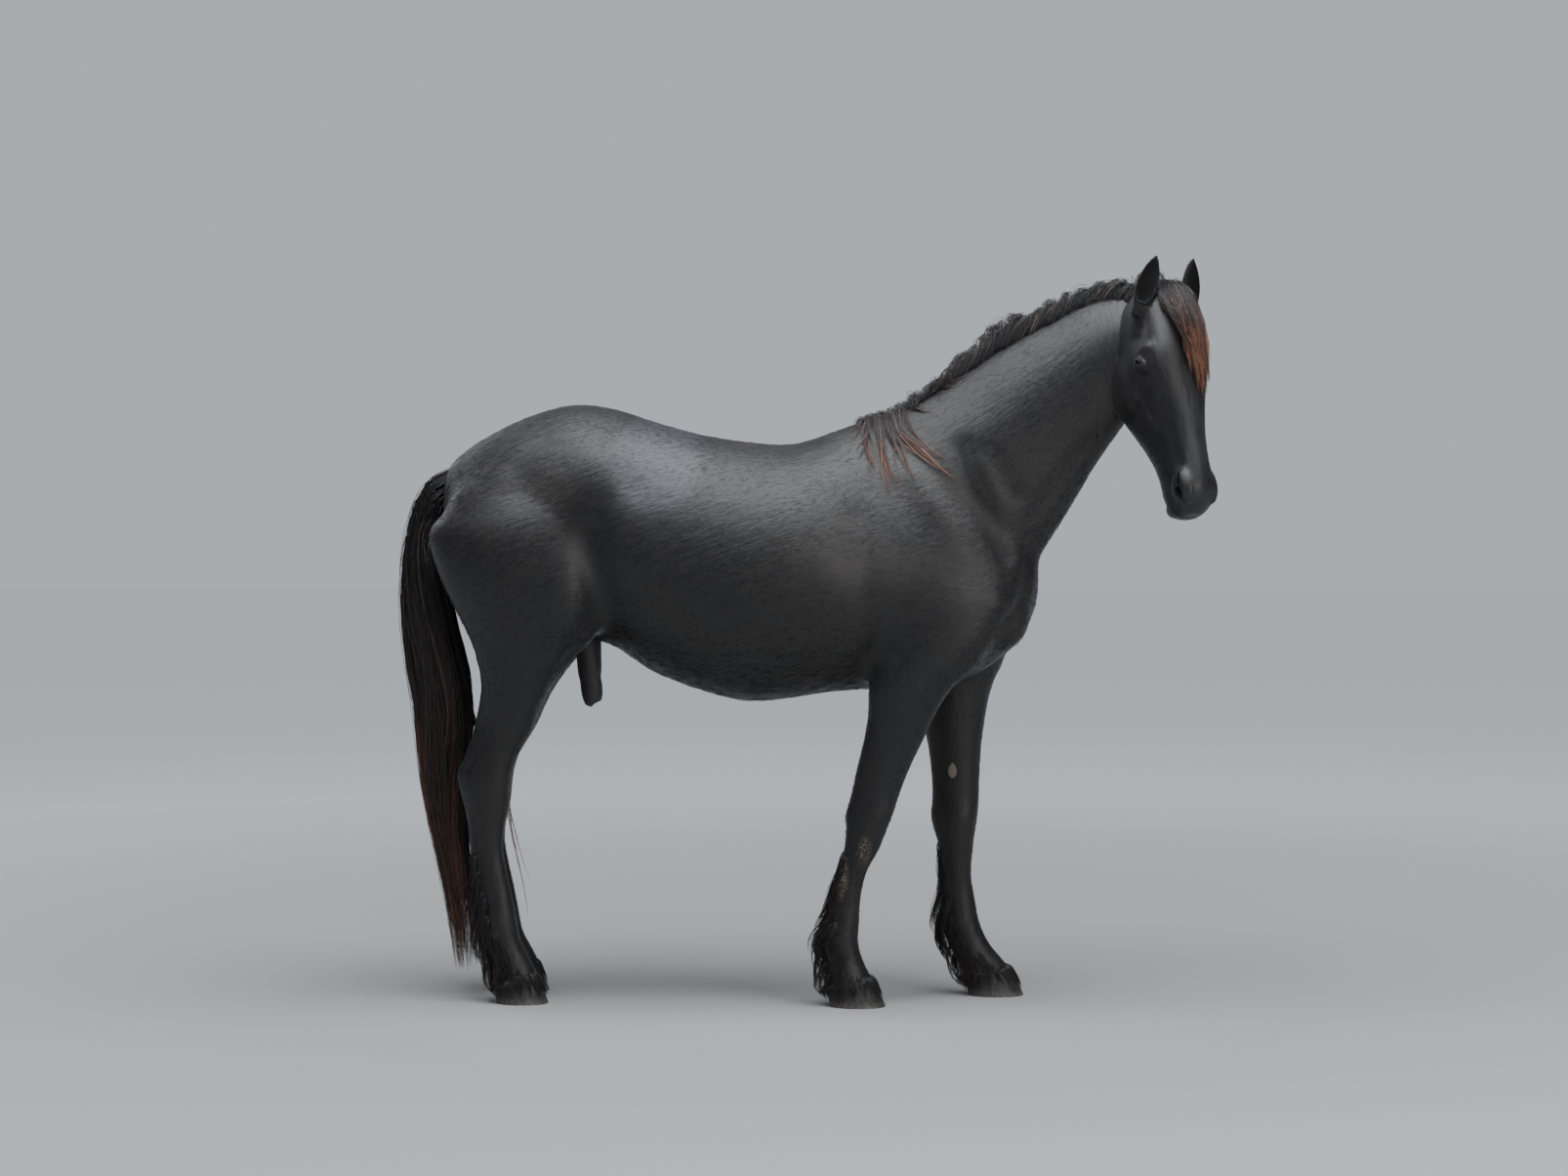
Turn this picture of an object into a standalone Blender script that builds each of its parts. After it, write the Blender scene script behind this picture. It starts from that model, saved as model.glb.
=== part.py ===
"""A Friesian horse standing square-on, its head turned to its right: a life-size model for a museum floor.

The horse faces +X, its left side is +Y and it stands on z = 0. All sizes are in metres.
The body is modelled whole from named rings and muscles, then parted into nodes with thin cuts.
"""

import math
import random

import bmesh
import bpy
import numpy as np
from mathutils import Matrix, Vector
from mathutils.bvhtree import BVHTree

# Driving dimensions, in the horse's own frame, where x = 0 lies under the middle of the back.
WITHERS = 1.60
CROUP = 1.645
BACK = 1.535
BELLY = 0.822
BARREL_HALF = 0.300
HIP_HALF = 0.262
CHEST_HALF = 0.215
BREAST_X = 0.680
BUTTOCK_X = -0.968
FORE_FOOT_Y = 0.128
HIND_FOOT_Y = 0.128
HEAD_LENGTH = 0.645
HEAD_YAW = math.radians(-56)
HEAD_PITCH = math.radians(20)
HEAD_ROLL = math.radians(-2.7)
POLL = Vector((1.061, -0.170, 1.977))
EYE_RADIUS = 0.0215
GAP = 0.0003
SLIVER = 0.0002

RING_POINTS = 28


def clear_scene():
    for old in list(bpy.data.objects):
        bpy.data.objects.remove(old)


def new_collection(name):
    made = bpy.data.collections.new(name)
    bpy.context.scene.collection.children.link(made)
    return made


def through(stations, count):
    """Rows of numbers drawn smoothly through the stations, evenly along their own order."""
    rows = np.array(stations, float)
    steps = np.r_[0, np.cumsum(np.linalg.norm(np.diff(rows[:, :3], axis=0), axis=1))]
    slopes = np.gradient(rows, steps, axis=0)
    made = []
    for at in np.linspace(0, steps[-1], count):
        k = min(int(np.searchsorted(steps, at, side="right")) - 1, len(rows) - 2)
        span = steps[k + 1] - steps[k]
        t = (at - steps[k]) / span
        start, end = rows[k], rows[k + 1]
        made.append(
            (2 * t**3 - 3 * t**2 + 1) * start
            + (t**3 - 2 * t**2 + t) * span * slopes[k]
            + (3 * t**2 - 2 * t**3) * end
            + (t**3 - t**2) * span * slopes[k + 1]
        )
    return made


def outward(name, shape):
    """The mesh of a closed shape, with its faces turned outward."""
    if shape.calc_volume(signed=True) < 0:
        bmesh.ops.reverse_faces(shape, faces=shape.faces)
    mesh = bpy.data.meshes.new(name)
    shape.to_mesh(mesh)
    shape.free()
    return mesh


def loft(name, rings):
    """A closed solid through rings of equally many points."""
    shape = bmesh.new()
    loops = [[shape.verts.new(p) for p in ring] for ring in rings]
    count = len(loops[0])
    for lower, upper in zip(loops, loops[1:]):
        for i in range(count):
            j = (i + 1) % count
            shape.faces.new((lower[i], lower[j], upper[j], upper[i]))
    shape.faces.new(reversed(loops[0]))
    shape.faces.new(loops[-1])
    return outward(name, shape)


def bent_power(value, exponent):
    return math.copysign(abs(value) ** (2 / exponent), value)


def upright_ring(x, top, bottom, half, widest, roundness_up, roundness_down):
    """A torso section across the body at x."""
    ring = []
    for i in range(RING_POINTS):
        t = 2 * math.pi * i / RING_POINTS
        up = math.cos(t) > 0
        exponent = roundness_up if up else roundness_down
        reach = top - widest if up else widest - bottom
        ring.append(
            (x, half * bent_power(math.sin(t), exponent), widest + reach * bent_power(math.cos(t), exponent))
        )
    return ring


def level_ring(z, rear, front, middle_y, half, narrow_rear):
    """A leg section at height z, from its rear edge to its front edge."""
    ring = []
    middle, reach = (rear + front) / 2, (front - rear) / 2
    for i in range(RING_POINTS):
        t = 2 * math.pi * i / RING_POINTS
        width = half * math.sin(t) * (1 + narrow_rear * math.cos(t))
        ring.append((middle + reach * math.cos(t), middle_y + width, z))
    return ring


# Torso: x, top, bottom, half width, height of the widest point, roundness above and below it.
TORSO = (
    (-0.940, 1.455, 1.270, 0.060, 1.360, 2.0, 2.0),
    (-0.905, 1.500, 1.160, 0.115, 1.330, 2.0, 2.0),
    (-0.810, 1.562, 1.080, 0.185, 1.300, 2.1, 2.0),
    (-0.680, 1.620, 1.030, 0.225, 1.300, 2.1, 2.0),
    (-0.565, CROUP, 1.000, 0.245, 1.330, 2.0, 2.0),
    (-0.487, 1.636, 0.980, HIP_HALF, 1.330, 1.9, 2.0),
    (-0.355, 1.596, 0.900, 0.270, 1.230, 1.9, 2.0),
    (-0.226, 1.561, 0.852, 0.285, 1.190, 1.9, 2.1),
    (-0.090, 1.540, BELLY, BARREL_HALF, 1.170, 1.9, 2.1),
    (0.030, BACK, 0.834, 0.298, 1.170, 1.9, 2.1),
    (0.129, 1.568, 0.850, 0.282, 1.170, 1.7, 2.1),
    (0.220, WITHERS, 0.856, 0.258, 1.170, 1.5, 2.1),
    (0.320, 1.600, 0.858, 0.232, 1.160, 1.5, 2.1),
    (0.430, 1.550, 0.866, CHEST_HALF, 1.140, 1.7, 2.1),
    (0.540, 1.440, 0.905, 0.190, 1.120, 2.0, 2.1),
    (0.620, 1.340, 0.965, 0.155, 1.110, 2.0, 2.0),
    (BREAST_X, 1.285, 1.050, 0.095, 1.160, 2.0, 2.0),
    (0.700, 1.235, 1.105, 0.050, 1.170, 2.0, 2.0),
)


def torso():
    rows = through(TORSO, 40)
    return loft("torso_mass", [upright_ring(*row) for row in rows])


# Neck: centre x, y, z, then yaw and pitch in degrees, reach to the crest, reach to the throat, half width.
NECK = (
    (0.300, 0.000, 1.270, 0, 22, 0.300, 0.300, 0.150),
    (0.400, 0.000, 1.345, 0, 32, 0.285, 0.330, 0.158),
    (0.500, 0.000, 1.430, -2, 38, 0.262, 0.300, 0.140),
    (0.610, -0.003, 1.535, -5, 40, 0.232, 0.262, 0.118),
    (0.720, -0.011, 1.640, -9, 38, 0.205, 0.222, 0.100),
    (0.825, -0.024, 1.728, -15, 34, 0.178, 0.190, 0.086),
    (0.915, -0.040, 1.790, -22, 28, 0.160, 0.160, 0.076),
    (0.985, -0.062, 1.830, -30, 22, 0.125, 0.130, 0.062),
)


def neck_ring(x, y, z, yaw, pitch, crest, throat, half):
    yaw, pitch = math.radians(yaw), math.radians(pitch)
    across = Vector((-math.sin(yaw), math.cos(yaw), 0))
    ahead = Vector((math.cos(pitch) * math.cos(yaw), math.cos(pitch) * math.sin(yaw), math.sin(pitch)))
    upward = ahead.cross(across)
    ring = []
    for i in range(RING_POINTS):
        t = 2 * math.pi * i / RING_POINTS
        up = math.cos(t) > 0
        reach = crest if up else throat
        narrow = 1 - 0.38 * max(math.cos(t), 0) ** 2
        point = Vector((x, y, z)) + across * (half * math.sin(t) * narrow)
        ring.append(point + upward * (reach * math.cos(t)))
    return ring


def neck():
    return loft("neck_mass", [neck_ring(*row) for row in through(NECK, 22)])


# Legs: height, rear edge, front edge, middle from the midline, half width, how much narrower the rear is.
FORELEG_BACK = (
    (1.120, 0.330, 0.610, 0.130, 0.085, 0.0),
    (1.020, 0.265, 0.600, 0.140, 0.085, 0.0),
    (0.930, 0.240, 0.540, 0.148, 0.078, 0.0),
    (0.870, 0.238, 0.470, 0.148, 0.072, 0.0),
    (0.790, 0.236, 0.420, 0.143, 0.064, 0.05),
    (0.734, 0.226, 0.394, 0.139, 0.058, 0.10),
    (0.646, 0.205, 0.352, 0.134, 0.049, 0.10),
    (0.566, 0.187, 0.322, 0.131, 0.046, 0.10),
    (0.525, 0.174, 0.309, 0.130, 0.048, 0.25),
    (0.478, 0.176, 0.290, 0.129, 0.047, 0.20),
    (0.428, 0.170, 0.271, 0.128, 0.041, 0.15),
    (0.375, 0.160, 0.241, 0.128, 0.034, 0.10),
    (0.295, 0.136, 0.221, 0.128, 0.032, 0.05),
    (0.226, 0.122, 0.217, 0.128, 0.036, 0.05),
    (0.170, 0.104, 0.214, 0.128, 0.042, 0.05),
    (0.125, 0.118, 0.228, 0.128, 0.038, 0.0),
    (0.085, 0.120, 0.246, 0.128, 0.046, 0.0),
    (0.060, 0.118, 0.256, 0.128, 0.050, 0.0),
    (0.030, 0.118, 0.262, 0.128, 0.052, 0.0),
)
FORELEG_AHEAD = (
    (1.120, 0.380, 0.640, 0.130, 0.085, 0.0),
    (1.020, 0.370, 0.640, 0.140, 0.085, 0.0),
    (0.930, 0.370, 0.605, 0.146, 0.078, 0.0),
    (0.865, 0.370, 0.575, 0.146, 0.072, 0.0),
    (0.764, 0.376, 0.553, 0.140, 0.060, 0.05),
    (0.683, 0.392, 0.543, 0.135, 0.052, 0.10),
    (0.612, 0.400, 0.539, 0.131, 0.047, 0.10),
    (0.540, 0.402, 0.537, 0.129, 0.046, 0.10),
    (0.500, 0.398, 0.534, 0.128, 0.048, 0.25),
    (0.450, 0.410, 0.526, 0.128, 0.046, 0.20),
    (0.403, 0.424, 0.521, 0.128, 0.040, 0.15),
    (0.335, 0.430, 0.516, 0.128, 0.033, 0.10),
    (0.267, 0.430, 0.527, 0.128, 0.034, 0.05),
    (0.196, 0.428, 0.541, 0.128, 0.040, 0.05),
    (0.142, 0.446, 0.568, 0.128, 0.039, 0.0),
    (0.098, 0.470, 0.604, 0.128, 0.044, 0.0),
    (0.060, 0.486, 0.632, 0.128, 0.050, 0.0),
    (0.030, 0.488, 0.640, 0.128, 0.052, 0.0),
)
HINDLEG = (
    (1.500, -0.840, -0.460, 0.110, 0.095, 0.0),
    (1.400, -0.930, -0.430, 0.130, 0.115, 0.0),
    (1.300, BUTTOCK_X, -0.420, 0.142, 0.125, 0.0),
    (1.200, -0.948, -0.435, 0.150, 0.125, 0.0),
    (1.100, -0.905, -0.465, 0.152, 0.118, 0.05),
    (1.010, -0.860, -0.510, 0.150, 0.105, 0.10),
    (0.947, -0.837, -0.560, 0.146, 0.092, 0.15),
    (0.907, -0.826, -0.598, 0.143, 0.083, 0.20),
    (0.827, -0.833, -0.648, 0.138, 0.068, 0.35),
    (0.747, -0.853, -0.680, 0.133, 0.055, 0.45),
    (0.667, -0.885, -0.725, 0.129, 0.048, 0.50),
    (0.627, -0.894, -0.736, 0.128, 0.048, 0.45),
    (0.587, -0.887, -0.741, 0.127, 0.048, 0.35),
    (0.537, -0.874, -0.745, 0.126, 0.045, 0.25),
    (0.481, -0.863, -0.758, 0.126, 0.038, 0.15),
    (0.428, -0.857, -0.762, 0.126, 0.033, 0.10),
    (0.353, -0.846, -0.750, 0.127, 0.032, 0.05),
    (0.281, -0.838, -0.734, 0.128, 0.034, 0.05),
    (0.215, -0.834, -0.722, 0.128, 0.041, 0.05),
    (0.165, -0.822, -0.712, 0.128, 0.040, 0.0),
    (0.125, -0.805, -0.690, 0.128, 0.039, 0.0),
    (0.085, -0.792, -0.670, 0.128, 0.046, 0.0),
    (0.060, -0.792, -0.662, 0.128, 0.049, 0.0),
    (0.030, -0.790, -0.655, 0.128, 0.051, 0.0),
)
FARTHER_HIND_BACK = 0.030


def leg(name, stations, side, shift=0.0):
    rows = []
    for height, rear, front, middle, half, narrow in stations:
        moved = shift * min(1, max(0, (1.2 - height) / 0.6))
        rows.append((height, rear + moved, front + moved, side * middle, half, narrow))
    return loft(name, [level_ring(*row) for row in through(rows, 44)])


def ellipsoid(name, centre, radii, yaw=0.0, pitch=0.0, roll=0.0):
    """A muscle: its long axis is x before it is pitched up and yawed left."""
    shape = bmesh.new()
    bmesh.ops.create_uvsphere(shape, u_segments=24, v_segments=16, radius=1)
    turn = (
        Matrix.Rotation(math.radians(yaw), 4, "Z")
        @ Matrix.Rotation(-math.radians(pitch), 4, "Y")
        @ Matrix.Rotation(math.radians(roll), 4, "X")
    )
    shape.transform(Matrix.Translation(centre) @ turn @ Matrix.Diagonal((*radii, 1)))
    mesh = bpy.data.meshes.new(name)
    shape.to_mesh(mesh)
    shape.free()
    return mesh


# Muscles on the right side, mirrored to the left: centre, radii, yaw, pitch, roll.
MUSCLES = {
    "shoulder_blade": ((0.405, -0.135, 1.290), (0.250, 0.062, 0.110), -14, 122, 0),
    "shoulder_point": ((0.560, -0.140, 1.110), (0.090, 0.066, 0.080), 0, 120, 0),
    "upper_arm": ((0.405, -0.168, 1.065), (0.180, 0.062, 0.100), 0, 32, 0),
    "forearm_root": ((0.360, -0.158, 0.960), (0.130, 0.062, 0.080), 0, 75, 0),
    "breast": ((0.590, -0.068, 1.060), (0.100, 0.068, 0.090), 0, 80, 0),
    "loin": ((-0.300, -0.080, 1.490), (0.300, 0.085, 0.062), 0, -6, 0),
    "hip": ((-0.460, -0.172, 1.455), (0.120, 0.066, 0.085), 0, 70, 0),
    "croup": ((-0.640, -0.115, 1.480), (0.230, 0.120, 0.130), 6, 15, 0),
    "haunch": ((-0.770, -0.165, 1.290), (0.250, 0.095, 0.140), 0, 75, 0),
    "thigh": ((-0.640, -0.175, 1.130), (0.200, 0.088, 0.150), 0, 60, 0),
    "stifle": ((-0.575, -0.160, 1.040), (0.120, 0.082, 0.095), 0, 60, 0),
}


def muscles():
    made = []
    for name, (centre, radii, yaw, pitch, roll) in MUSCLES.items():
        for side in (1, -1):
            place = (centre[0], centre[1] * side, centre[2])
            made.append(ellipsoid(name, place, radii, yaw * side, pitch, roll * side))
    return made


# The head hangs from the poll. Inside it x points out of the face, y to its left and z up.
HEAD = (
    Matrix.Translation(POLL)
    @ Matrix.Rotation(HEAD_YAW, 4, "Z")
    @ Matrix.Rotation(-HEAD_PITCH, 4, "Y")
    @ Matrix.Rotation(HEAD_ROLL, 4, "X")
)


def on_head(down, back, left):
    """The point so far below the poll along the face, behind the line of the face and left of its middle."""
    return HEAD @ Vector((-back, left, -down))


# Skull: distance below the poll, front, rear, where it is widest, half width, roundness in front and behind.
SKULL = (
    (-0.015, 0.060, 0.150, 0.105, 0.036, 2.0, 2.0),
    (0.010, 0.028, 0.190, 0.100, 0.060, 2.1, 2.0),
    (0.045, 0.010, 0.220, 0.100, 0.076, 2.2, 2.1),
    (0.090, -0.003, 0.250, 0.100, 0.083, 2.4, 2.3),
    (0.150, -0.010, 0.278, 0.092, 0.088, 2.7, 2.6),
    (0.215, -0.009, 0.296, 0.085, 0.094, 2.9, 2.8),
    (0.260, -0.005, 0.299, 0.085, 0.091, 2.8, 2.9),
    (0.310, 0.000, 0.289, 0.085, 0.080, 2.6, 2.8),
    (0.370, 0.004, 0.257, 0.088, 0.068, 2.5, 2.6),
    (0.430, 0.007, 0.222, 0.090, 0.058, 2.4, 2.5),
    (0.490, 0.008, 0.194, 0.090, 0.053, 2.4, 2.4),
    (0.540, 0.009, 0.180, 0.085, 0.054, 2.4, 2.4),
    (0.585, 0.013, 0.173, 0.082, 0.058, 2.4, 2.4),
    (0.615, 0.026, 0.165, 0.090, 0.050, 2.3, 2.3),
    (0.637, 0.052, 0.148, 0.097, 0.037, 2.2, 2.2),
    (HEAD_LENGTH, 0.068, 0.128, 0.097, 0.026, 2.0, 2.0),
)
# Forms of the right side of the head: down, back, left, then radii down, back and across, and a tilt in the side view.
FACE_FORMS = {
    "cheek": ((0.235, 0.185, -0.058), (0.100, 0.088, 0.040), -15),
    "brow": ((0.186, 0.058, -0.074), (0.038, 0.026, 0.020), -35),
    "orbit": ((0.216, 0.080, -0.080), (0.040, 0.036, 0.0235), 0),
    "cheekbone": ((0.325, 0.134, -0.055), (0.105, 0.022, 0.019), -29),
    "nostril_rim": ((0.572, 0.054, -0.040), (0.044, 0.032, 0.0205), -12),
    "upper_lip": ((0.612, 0.082, -0.024), (0.026, 0.032, 0.028), 0),
    "chin": ((0.606, 0.150, -0.014), (0.026, 0.024, 0.024), 0),
    "ear_root": ((0.052, 0.068, -0.066), (0.040, 0.036, 0.026), 0),
}
EYE_DOWN, EYE_BACK, EYE_OUT = 0.216, 0.080, 0.0805
EAR_LENGTH = 0.138
EAR_HALF_WIDTH = 0.030
EAR_WALL = 0.0045
EAR_POINTS = 12


def head_mass():
    rings = []
    for down, front, rear, widest, half, ahead, behind in through(SKULL, 40):
        ring = []
        for i in range(RING_POINTS):
            t = 2 * math.pi * i / RING_POINTS
            exponent = ahead if math.cos(t) > 0 else behind
            reach = widest - front if math.cos(t) > 0 else rear - widest
            out = reach * bent_power(math.cos(t), exponent)
            ring.append(on_head(down, widest - out, half * bent_power(math.sin(t), exponent)))
        rings.append(ring)
    return loft("skull", rings)


def head_form(name, place, radii, tilt, side, meridians=24, bands=16):
    shape = bmesh.new()
    bmesh.ops.create_uvsphere(shape, u_segments=meridians, v_segments=bands, radius=1)
    down, back, left = place
    turn = Matrix.Rotation(math.radians(tilt), 4, "Y")
    size = Matrix.Diagonal((radii[1], radii[2], radii[0], 1))
    shape.transform(HEAD @ Matrix.Translation((-back, -left * side, -down)) @ turn @ size)
    mesh = bpy.data.meshes.new(name)
    shape.to_mesh(mesh)
    shape.free()
    return mesh


def face_forms():
    return [
        head_form(name, place, radii, tilt, side)
        for name, (place, radii, tilt) in FACE_FORMS.items()
        for side in (1, -1)
    ]


def box_mesh(name, frame, low, high):
    """A box in the frame given, between two opposite corners."""
    shape = bmesh.new()
    bmesh.ops.create_cube(shape, size=1)
    middle = (Vector(low) + Vector(high)) / 2
    size = Vector(high) - Vector(low)
    shape.transform(frame @ Matrix.Translation(middle) @ Matrix.Diagonal((*size, 1)))
    return outward(name, shape)


def frame_at(origin, normal, across):
    """A frame whose z is the normal and whose y is nearly the direction across."""
    z = Vector(normal).normalized()
    x = Vector(across).cross(z).normalized()
    y = z.cross(x)
    turn = Matrix((x, y, z)).transposed().to_4x4()
    return Matrix.Translation(origin) @ turn


def working(name, mesh):
    made = bpy.data.objects.new(name, mesh)
    bpy.context.scene.collection.objects.link(made)
    return made


def applied(obj):
    """Bakes the modifiers of the object into its mesh."""
    graph = bpy.context.evaluated_depsgraph_get()
    graph.update()
    baked = bpy.data.meshes.new_from_object(obj.evaluated_get(graph))
    obj.modifiers.clear()
    obj.data = baked
    return obj


def joined(name, meshes):
    shape = bmesh.new()
    for mesh in meshes:
        shape.from_mesh(mesh)
    mesh = bpy.data.meshes.new(name)
    shape.to_mesh(mesh)
    shape.free()
    return working(name, mesh)


def remeshed(obj, voxel, rounds):
    remesh = obj.modifiers.new("remesh", "REMESH")
    remesh.mode = "VOXEL"
    remesh.voxel_size = voxel
    if rounds:
        smooth = obj.modifiers.new("smooth", "SMOOTH")
        smooth.factor = 0.5
        smooth.iterations = rounds
    return applied(obj)


def boolean(obj, cutter, operation):
    """The object after a Boolean with one mesh, which is dropped."""
    helper = working("cutter", cutter)
    cut = obj.modifiers.new("cut", "BOOLEAN")
    cut.operation = operation
    cut.solver = "MANIFOLD"
    cut.object = helper
    applied(obj)
    bpy.data.objects.remove(helper)
    return obj


def part_off(source, name, frame, low, high):
    """Takes what lies in the box out of the source, leaving the gap between them, and returns it as its own object."""
    taken = working(name, source.data.copy())
    boolean(taken, box_mesh("inside", frame, low, high), "INTERSECT")
    wider_low = Vector(low) - Vector((GAP, GAP, GAP))
    wider_high = Vector(high) + Vector((GAP, GAP, GAP))
    boolean(source, box_mesh("outside", frame, wider_low, wider_high), "DIFFERENCE")
    return taken


def sound(mesh):
    """Whether every edge of the mesh joins exactly two faces."""
    shape = bmesh.new()
    shape.from_mesh(mesh)
    fine = all(len(edge.link_faces) == 2 for edge in shape.edges)
    shape.free()
    return fine


def thinned(obj, triangles, planes):
    """Cuts the object down to about so many triangles, then lays the points of its cut faces back on their planes."""
    full = obj.data
    shape = bmesh.new()
    shape.from_mesh(full)
    bmesh.ops.dissolve_degenerate(shape, edges=shape.edges, dist=SLIVER)
    bmesh.ops.triangulate(shape, faces=shape.faces)
    shape.to_mesh(full)
    shape.free()
    full.calc_loop_triangles()
    for share in (1.0, 0.98, 0.96, 1.02, 1.04, 0.94, 1.07, 0.90):
        obj.data = full.copy()
        thin = obj.modifiers.new("thin", "DECIMATE")
        thin.ratio = min(1.0, share * triangles / len(full.loop_triangles))
        thin.use_collapse_triangulate = True
        applied(obj)
        if sound(obj.data):
            break
    for point in obj.data.vertices:
        for origin, normal in planes:
            off = (point.co - origin).dot(normal)
            if abs(off) < 0.0015:
                point.co -= normal * off
    return obj


def largest_shell(obj):
    """Keeps the largest surface whose faces are joined along their edges."""
    shape = bmesh.new()
    shape.from_mesh(obj.data)
    left = set(shape.faces)
    shells = []
    while left:
        seen, border = set(), [left.pop()]
        while border:
            face = border.pop()
            if face in seen:
                continue
            seen.add(face)
            border += [other for edge in face.edges for other in edge.link_faces]
        left -= seen
        shells.append(seen)
    shells.sort(key=len)
    for shell in shells[:-1]:
        bmesh.ops.delete(shape, geom=list(shell), context="FACES")
    shape.to_mesh(obj.data)
    shape.free()
    return obj


# Ears: share of the length, half width across the opening, half depth, how far the middle leans forward.
EAR_RINGS = (
    (-0.24, 0.019, 0.021, -0.006),
    (0.00, 0.023, 0.024, -0.001),
    (0.18, 0.0285, 0.025, 0.001),
    (0.38, EAR_HALF_WIDTH, 0.023, 0.001),
    (0.58, 0.027, 0.019, -0.002),
    (0.76, 0.020, 0.014, -0.004),
    (0.90, 0.011, 0.008, -0.004),
    (1.00, 0.002, 0.002, -0.001),
)


def ear_frame(side):
    """Origin at the root of the ear, z along it and x out of its opening."""
    root = on_head(0.056, 0.060, 0.078 * side)
    lean = (HEAD.to_3x3() @ Vector((0.105, -0.022 * side, 0.135))).normalized()
    opening = HEAD.to_3x3() @ Vector((0.80, 0.60 * side, -0.45))
    across = lean.cross(opening).normalized()
    return frame_at(root, lean, across)


def ear_solid(name, side, kind):
    """The whole ear, the hollow of its cup, or the space that the ear needs above its root."""
    frame = ear_frame(side)
    rings = []
    for share, half, depth, forward in through(EAR_RINGS, 11):
        if kind == "cup":
            if share < 0.02:
                continue
            half, depth, forward = half - EAR_WALL * 0.9, depth - EAR_WALL * 0.6, forward + 0.0125
            half, depth = max(half, 0.0012), max(depth, 0.0012)
            share = 0.03 + (share - 0.02) * 1.03
        elif kind == "space":
            half, depth = half + 0.005, depth + 0.005
            share = share * 1.03
        ring = []
        for i in range(EAR_POINTS):
            t = 2 * math.pi * i / EAR_POINTS
            ring.append(frame @ Vector((forward + depth * math.cos(t), half * math.sin(t), share * EAR_LENGTH)))
        rings.append(ring)
    return loft(name, rings)


def ear(side):
    made = working("ear", ear_solid("ear", side, "whole"))
    boolean(made, ear_solid("cup", side, "cup"), "DIFFERENCE")
    root = box_mesh("root", ear_frame(side), (-0.1, -0.1, 0), (0.1, 0.1, 0.3))
    boolean(made, root, "INTERSECT")
    return largest_shell(made)


def clear_ears(head):
    """Takes the ears off the head above their roots."""
    for side in (1, -1):
        space = working("space", ear_solid("space", side, "space"))
        above = box_mesh("above", ear_frame(side), (-0.1, -0.1, -GAP), (0.1, 0.1, 0.3))
        boolean(space, above, "INTERSECT")
        boolean(head, space.data.copy(), "DIFFERENCE")
        bpy.data.objects.remove(space)
    largest_shell(head)


# Hooves: toe and heel on the floor, toe and heel at the coronet with their heights, half widths below and above.
HOOVES = {
    "hoof_fore_right": (0.287, 0.130, 0.252, 0.116, 0.083, 0.040, 0.068, 0.052, -FORE_FOOT_Y),
    "hoof_fore_left": (0.660, 0.502, 0.624, 0.484, 0.083, 0.040, 0.068, 0.052, FORE_FOOT_Y),
    "hoof_hind_right": (-0.640, -0.788, -0.671, -0.796, 0.083, 0.040, 0.063, 0.050, -HIND_FOOT_Y),
    "hoof_hind_left": (-0.670, -0.818, -0.701, -0.826, 0.083, 0.040, 0.063, 0.050, HIND_FOOT_Y),
}


def hoof_plane(name):
    """A point and the normal of the coronet's plane."""
    toe, heel, top_toe, top_heel, high, low, half, top_half, across = HOOVES[name]
    slope = Vector((top_toe - top_heel, 0, high - low))
    normal = slope.cross(Vector((0, 1, 0))).normalized()
    if normal.z < 0:
        normal.negate()
    return Vector((top_toe, across, high)), normal


def hoof(name):
    toe, heel, top_toe, top_heel, high, low, half, top_half, across = HOOVES[name]
    rings = []
    for share in (0.0, 0.06, 0.5, 1.0):
        front = toe + (top_toe - toe) * share
        rear = heel + (top_heel - heel) * share
        width = half + (top_half - half) * share
        inset = 0.004 if share == 0 else 0
        ring = []
        for i in range(20):
            t = 2 * math.pi * i / 20
            along = 0.5 + 0.5 * math.cos(t)
            x = rear + inset + (front - rear - 2 * inset) * along
            y = (width - inset) * math.copysign(abs(math.sin(t)) ** 0.85, math.sin(t))
            ring.append((x, across + y, share * (low + (high - low) * along)))
        rings.append(ring)
    return working(name, loft(name, rings))


# Cuts: a point of the plane, its normal into the part taken off, and the box it is taken out of.
NECK_CUT = (Vector((0.330, 0, 1.620)), Vector((0.765, 0, 0.643)).normalized())
FORE_CUT = (Vector((0.220, 0, 0.800)), Vector((0.20, 0, -1)).normalized())
HIND_CUT = (Vector((-0.500, 0, 0.925)), Vector((-0.20, 0, -1)).normalized())
KNEE_CUTS = {"right": 0.500, "left": 0.474}
HOCK_CUT = 0.600
HEAD_CUT_TOP = (-0.020, 0.105)
HEAD_CUT_ALONG = (0.850, 0.527)


def head_cut():
    """The plane that runs down behind the ears and the jaw."""
    down, back = HEAD_CUT_TOP
    along = HEAD.to_3x3() @ Vector((-HEAD_CUT_ALONG[1], 0, -HEAD_CUT_ALONG[0]))
    across = HEAD.to_3x3() @ Vector((0, 1, 0))
    normal = along.cross(across).normalized()
    if normal.dot(on_head(0.3, 0.05, 0) - on_head(down, back, 0)) < 0:
        normal.negate()
    middle = on_head(down, back, 0) + along.normalized() * 0.17
    return middle, normal, across


# How many triangles each node of the body keeps before its locks.
TRIANGLES = {
    "torso": 1900,
    "neck": 560,
    "head": 1560,
    "foreleg_upper": 330,
    "foreleg_lower": 380,
    "hindleg_upper": 370,
    "hindleg_lower": 400,
}
EYE_SLIT_HALF = 0.0165
EYE_SLIT_TILT = 35
LIPS_APART = 0.0022


def eye_centre(side):
    return on_head(EYE_DOWN, EYE_BACK, EYE_OUT * side)


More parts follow.
